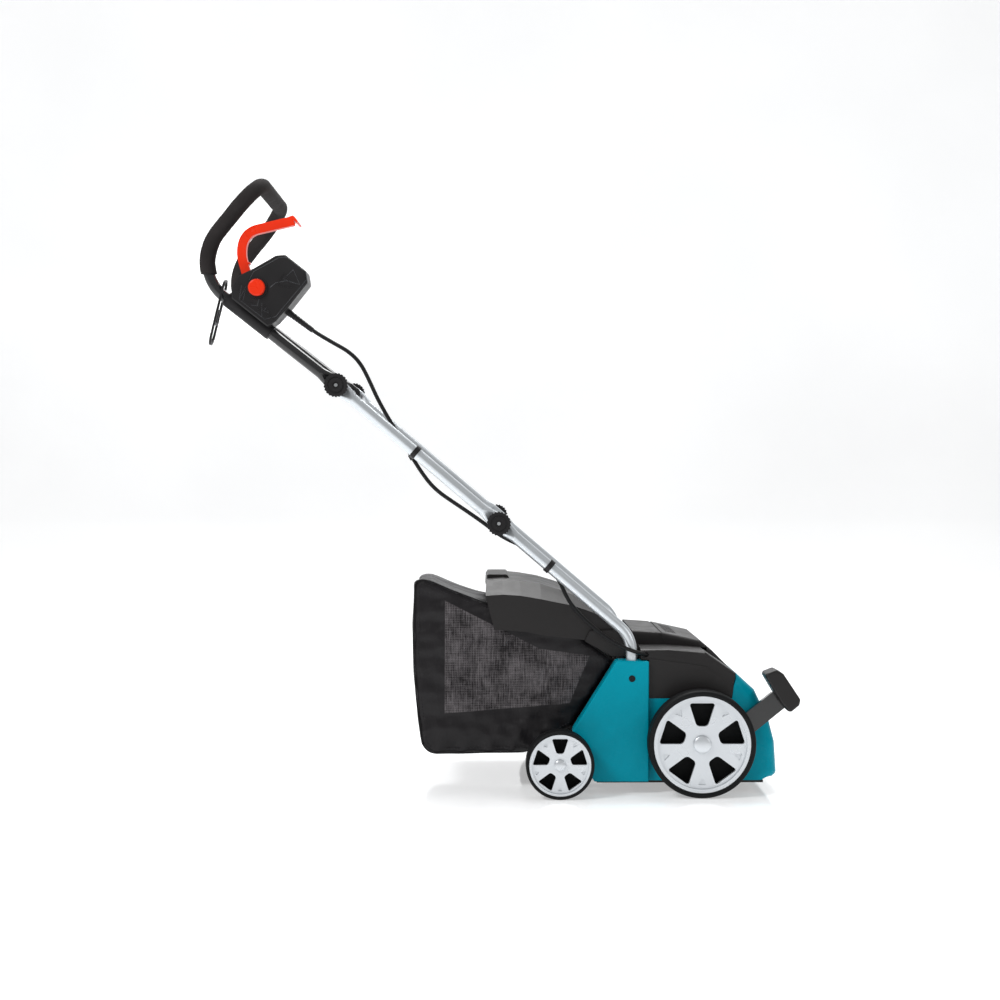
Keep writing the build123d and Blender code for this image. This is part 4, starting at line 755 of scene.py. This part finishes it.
class SCARIFIER_OT_bag_seams(bpy.types.Operator):
    """Makes the piping and the stitching along the bag's side seams"""

    bl_idname = "scarifier.bag_seams"
    bl_label = "Bag seams"

    def execute(self, context):
        sizes = context.scene.scarifier_sizes
        tree = stitch_tree()
        for side, word in ((-1, "right"), (1, "left")):
            edge = [bag_shape(point, sizes) for point in seam_points(side, PIPING_INSET)]
            piping = nurbs(f"piping_{word}", edge, sizes.piping_radius, 3)
            piping = baked(piping, f"bag_piping_{word}", "piping")
            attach(piping, "bag_body")
            hem = [bag_shape(point, sizes) for point in seam_points(side, HEM_INSET)]
            line = nurbs(f"seam_{word}", hem, 0.0)
            stitched = grown(line, tree, f"bag_stitches_{word}", "thread",
                             pitch=sizes.stitch_pitch, stitch_length=sizes.stitch_length,
                             thread_radius=THREAD_RADIUS, thread=FINISHES["thread"])
            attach(stitched, "bag_body")
        return {"FINISHED"}


def rib_tree():
    """Geometry Nodes: a round rib along every edge of a mesh."""
    tree, given = new_tree("face_ribs", (("Rib Radius", "Float"), ("Plastic", "Material")))
    lines = add(tree, "GeometryNodeMeshToCurve", {"Mesh": given["Geometry"]})
    profile = add(tree, "GeometryNodeCurvePrimitiveCircle", {
        "Resolution": 8, "Radius": given["Rib Radius"]})
    ribs = add(tree, "GeometryNodeCurveToMesh", {
        "Curve": lines.outputs["Curve"], "Profile Curve": profile.outputs["Curve"],
        "Fill Caps": True})
    end_tree(tree, ribs.outputs["Mesh"], given["Plastic"])
    return tree


class SCARIFIER_OT_box_ribs(bpy.types.Operator):
    """Makes the raised lines on the switch box and the collar round its button"""

    bl_idname = "scarifier.box_ribs"
    bl_label = "Switch box lines"

    def execute(self, context):
        button_low, button_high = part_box("lock_button")
        centre = (button_low + button_high) / 2
        reach = (button_high.x - button_low.x) / 2 + BUTTON_COLLAR_GAP
        turns = [math.tau * i / BUTTON_COLLAR_POINTS for i in range(BUTTON_COLLAR_POINTS)]
        collar = [(centre.x + reach * math.cos(turn), centre.z + reach * math.sin(turn))
                  for turn in turns]
        corners, edges = [], []
        for line in (BOX_OUTLINE, *BOX_LINES, collar):
            first = len(corners)
            corners += [(x, BOX_FACE_Y, z) for x, z in line]
            last = len(corners) - 1
            edges += [(i, i + 1) for i in range(first, last)]
            if line not in BOX_LINES:
                edges.append((last, first))
        # The ribs get the lighter grey finish: a painted highlight along the raised lines.
        ribs = grown(scaffold("box_lines", corners, edges), rib_tree(), "switch_box_lines",
                     "worn_edge_plastic", rib_radius=context.scene.scarifier_sizes.rib_radius,
                     plastic=FINISHES["worn_edge_plastic"])
        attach(ribs, "upper_handle")
        return {"FINISHED"}


def screw_tree():
    """Geometry Nodes: a cross-head screw on every point of a mesh."""
    tree, given = new_tree("casing_screws", (
        ("Head Radius", "Float"), ("Direction", "Vector"), ("Steel", "Material")))
    head = add(tree, "GeometryNodeMeshCylinder", {
        "Vertices": 20, "Radius": given["Head Radius"], "Depth": SCREW_HEAD_DEPTH})
    joined = add(tree, "GeometryNodeJoinGeometry", {"Geometry": head.outputs["Mesh"]})
    for size in SCREW_CROSS:
        bar = add(tree, "GeometryNodeMeshCube", {"Size": size})
        lifted = add(tree, "GeometryNodeTransform", {
            "Geometry": bar.outputs["Mesh"], "Translation": (0, 0, SCREW_CROSS_LIFT)})
        tree.links.new(lifted.outputs["Geometry"], joined.inputs["Geometry"])
    turn = add(tree, "FunctionNodeAlignEulerToVector", {"Vector": given["Direction"]}, axis="Z")
    placed = add(tree, "GeometryNodeInstanceOnPoints", {
        "Points": given["Geometry"], "Instance": joined.outputs["Geometry"],
        "Rotation": turn.outputs["Rotation"]})
    end_tree(tree, placed.outputs["Instances"], given["Steel"])
    return tree


class SCARIFIER_OT_screws(bpy.types.Operator):
    """Makes the casing screws, one mesh for each body"""

    bl_idname = "scarifier.screws"
    bl_label = "Casing screws"

    def execute(self, context):
        tree = screw_tree()
        radius = context.scene.scarifier_sizes.screw_radius
        for body, (way, places) in SCREW_PLACES.items():
            screws = grown(scaffold(f"screw_points_{body}", places, []), tree,
                           f"casing_screws_{body}", "zinc_steel", smooth=False,
                           head_radius=radius, direction=way, steel=FINISHES["zinc_steel"])
            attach(screws, body)
        return {"FINISHED"}


class SCARIFIER_OT_stage(bpy.types.Operator):
    """Makes the floor with its backdrop, the lights and the camera"""

    bl_idname = "scarifier.stage"
    bl_label = "Stage"

    def execute(self, context):
        scene = context.scene
        profile = [(FLOOR_FRONT, 0.0), (FLOOR_BACK, 0.0)]
        for i in range(1, FLOOR_BEND_STEPS + 1):
            turn = math.radians(90 * i / FLOOR_BEND_STEPS)
            profile.append((FLOOR_BACK + FLOOR_BEND * math.sin(turn),
                            FLOOR_BEND * (1 - math.cos(turn))))
        profile.append((FLOOR_BACK + FLOOR_BEND, BACKDROP_TOP))
        shape = bmesh.new()
        rows = [[shape.verts.new((x, y, z - FLOOR_DROP))
                 for x in (-FLOOR_HALF_WIDTH, FLOOR_HALF_WIDTH)] for y, z in profile]
        for low, high in zip(rows, rows[1:]):
            shape.faces.new((low[0], low[1], high[1], high[0])).smooth = True
        mesh = bpy.data.meshes.new("studio_floor")
        shape.to_mesh(mesh)
        shape.free()
        # White acrylic: a clean gloss that mirrors the wheels; it glows faintly like a light table.
        floor_look = Finish("white_acrylic", 0.09, Emission_Color=(1, 1, 1, 1),
                            Emission_Strength=FLOOR_GLOW)
        floor_look.layer(0.8, colours=(linear("E9EAEB"), linear("EFF0F1")))
        mesh.materials.append(floor_look.material)
        floor = bpy.data.objects.new("studio_floor", mesh)
        scene.collection.objects.link(floor)

        scene.world = scene.world or bpy.data.worlds.new("studio")
        scene.world.use_nodes = True
        background = scene.world.node_tree.nodes["Background"]
        background.inputs["Color"].default_value = (1.0, 1.0, 1.0, 1.0)
        background.inputs["Strength"].default_value = WORLD_STRENGTH
        for name, (place, size, power) in LIGHTS.items():
            lamp = bpy.data.lights.new(name, "AREA")
            lamp.shape = "SQUARE"
            lamp.size = size
            lamp.energy = power
            holder = bpy.data.objects.new(name, lamp)
            holder.location = place
            way = LIGHT_TARGET - Vector(place)
            holder.rotation_euler = way.to_track_quat("-Z", "Y").to_euler()
            scene.collection.objects.link(holder)
        scene.view_settings.view_transform = "Standard"

        camera = bpy.data.cameras.new("camera")
        camera.lens = CAMERA_LENS
        camera.sensor_width = CAMERA_SENSOR
        holder = bpy.data.objects.new("camera", camera)
        holder.location = CAMERA_PLACE
        holder.rotation_euler = CAMERA_TURN
        scene.collection.objects.link(holder)
        scene.camera = holder
        return {"FINISHED"}


class SCARIFIER_PT_panel(bpy.types.Panel):
    """Lists the pieces in the sidebar"""

    bl_label = "Lawn scarifier"
    bl_idname = "SCARIFIER_PT_panel"
    bl_space_type = "VIEW_3D"
    bl_region_type = "UI"
    bl_category = "Scarifier"

    def draw(self, context):
        for group in (context.scene.scarifier_sizes, context.scene.scarifier_colours):
            for name in type(group).__annotations__:
                self.layout.prop(group, name)
        for step in STEPS:
            self.layout.operator(step.bl_idname)


STEPS = (SCARIFIER_OT_stage, SCARIFIER_OT_finishes, SCARIFIER_OT_lead, SCARIFIER_OT_grip,
         SCARIFIER_OT_bag, SCARIFIER_OT_bag_seams, SCARIFIER_OT_box_ribs,
         SCARIFIER_OT_screws)
CLASSES = (ScarifierSizes, ScarifierColours, *STEPS, SCARIFIER_PT_panel)


def register():
    """Adds the add-on's classes and its settings."""
    for cls in CLASSES:
        bpy.utils.register_class(cls)
    bpy.types.Scene.scarifier_sizes = bpy.props.PointerProperty(type=ScarifierSizes)
    bpy.types.Scene.scarifier_colours = bpy.props.PointerProperty(type=ScarifierColours)


def unregister():
    """Takes them away again."""
    del bpy.types.Scene.scarifier_colours
    del bpy.types.Scene.scarifier_sizes
    for cls in reversed(CLASSES):
        bpy.utils.unregister_class(cls)


def main():
    """Builds every piece."""
    register()
    bpy.ops.scarifier.stage()
    bpy.ops.scarifier.finishes()
    bpy.ops.scarifier.lead()
    bpy.ops.scarifier.grip()
    bpy.ops.scarifier.bag()
    bpy.ops.scarifier.bag_seams()
    bpy.ops.scarifier.box_ribs()
    bpy.ops.scarifier.screws()


if __name__ == "__main__":
    main()
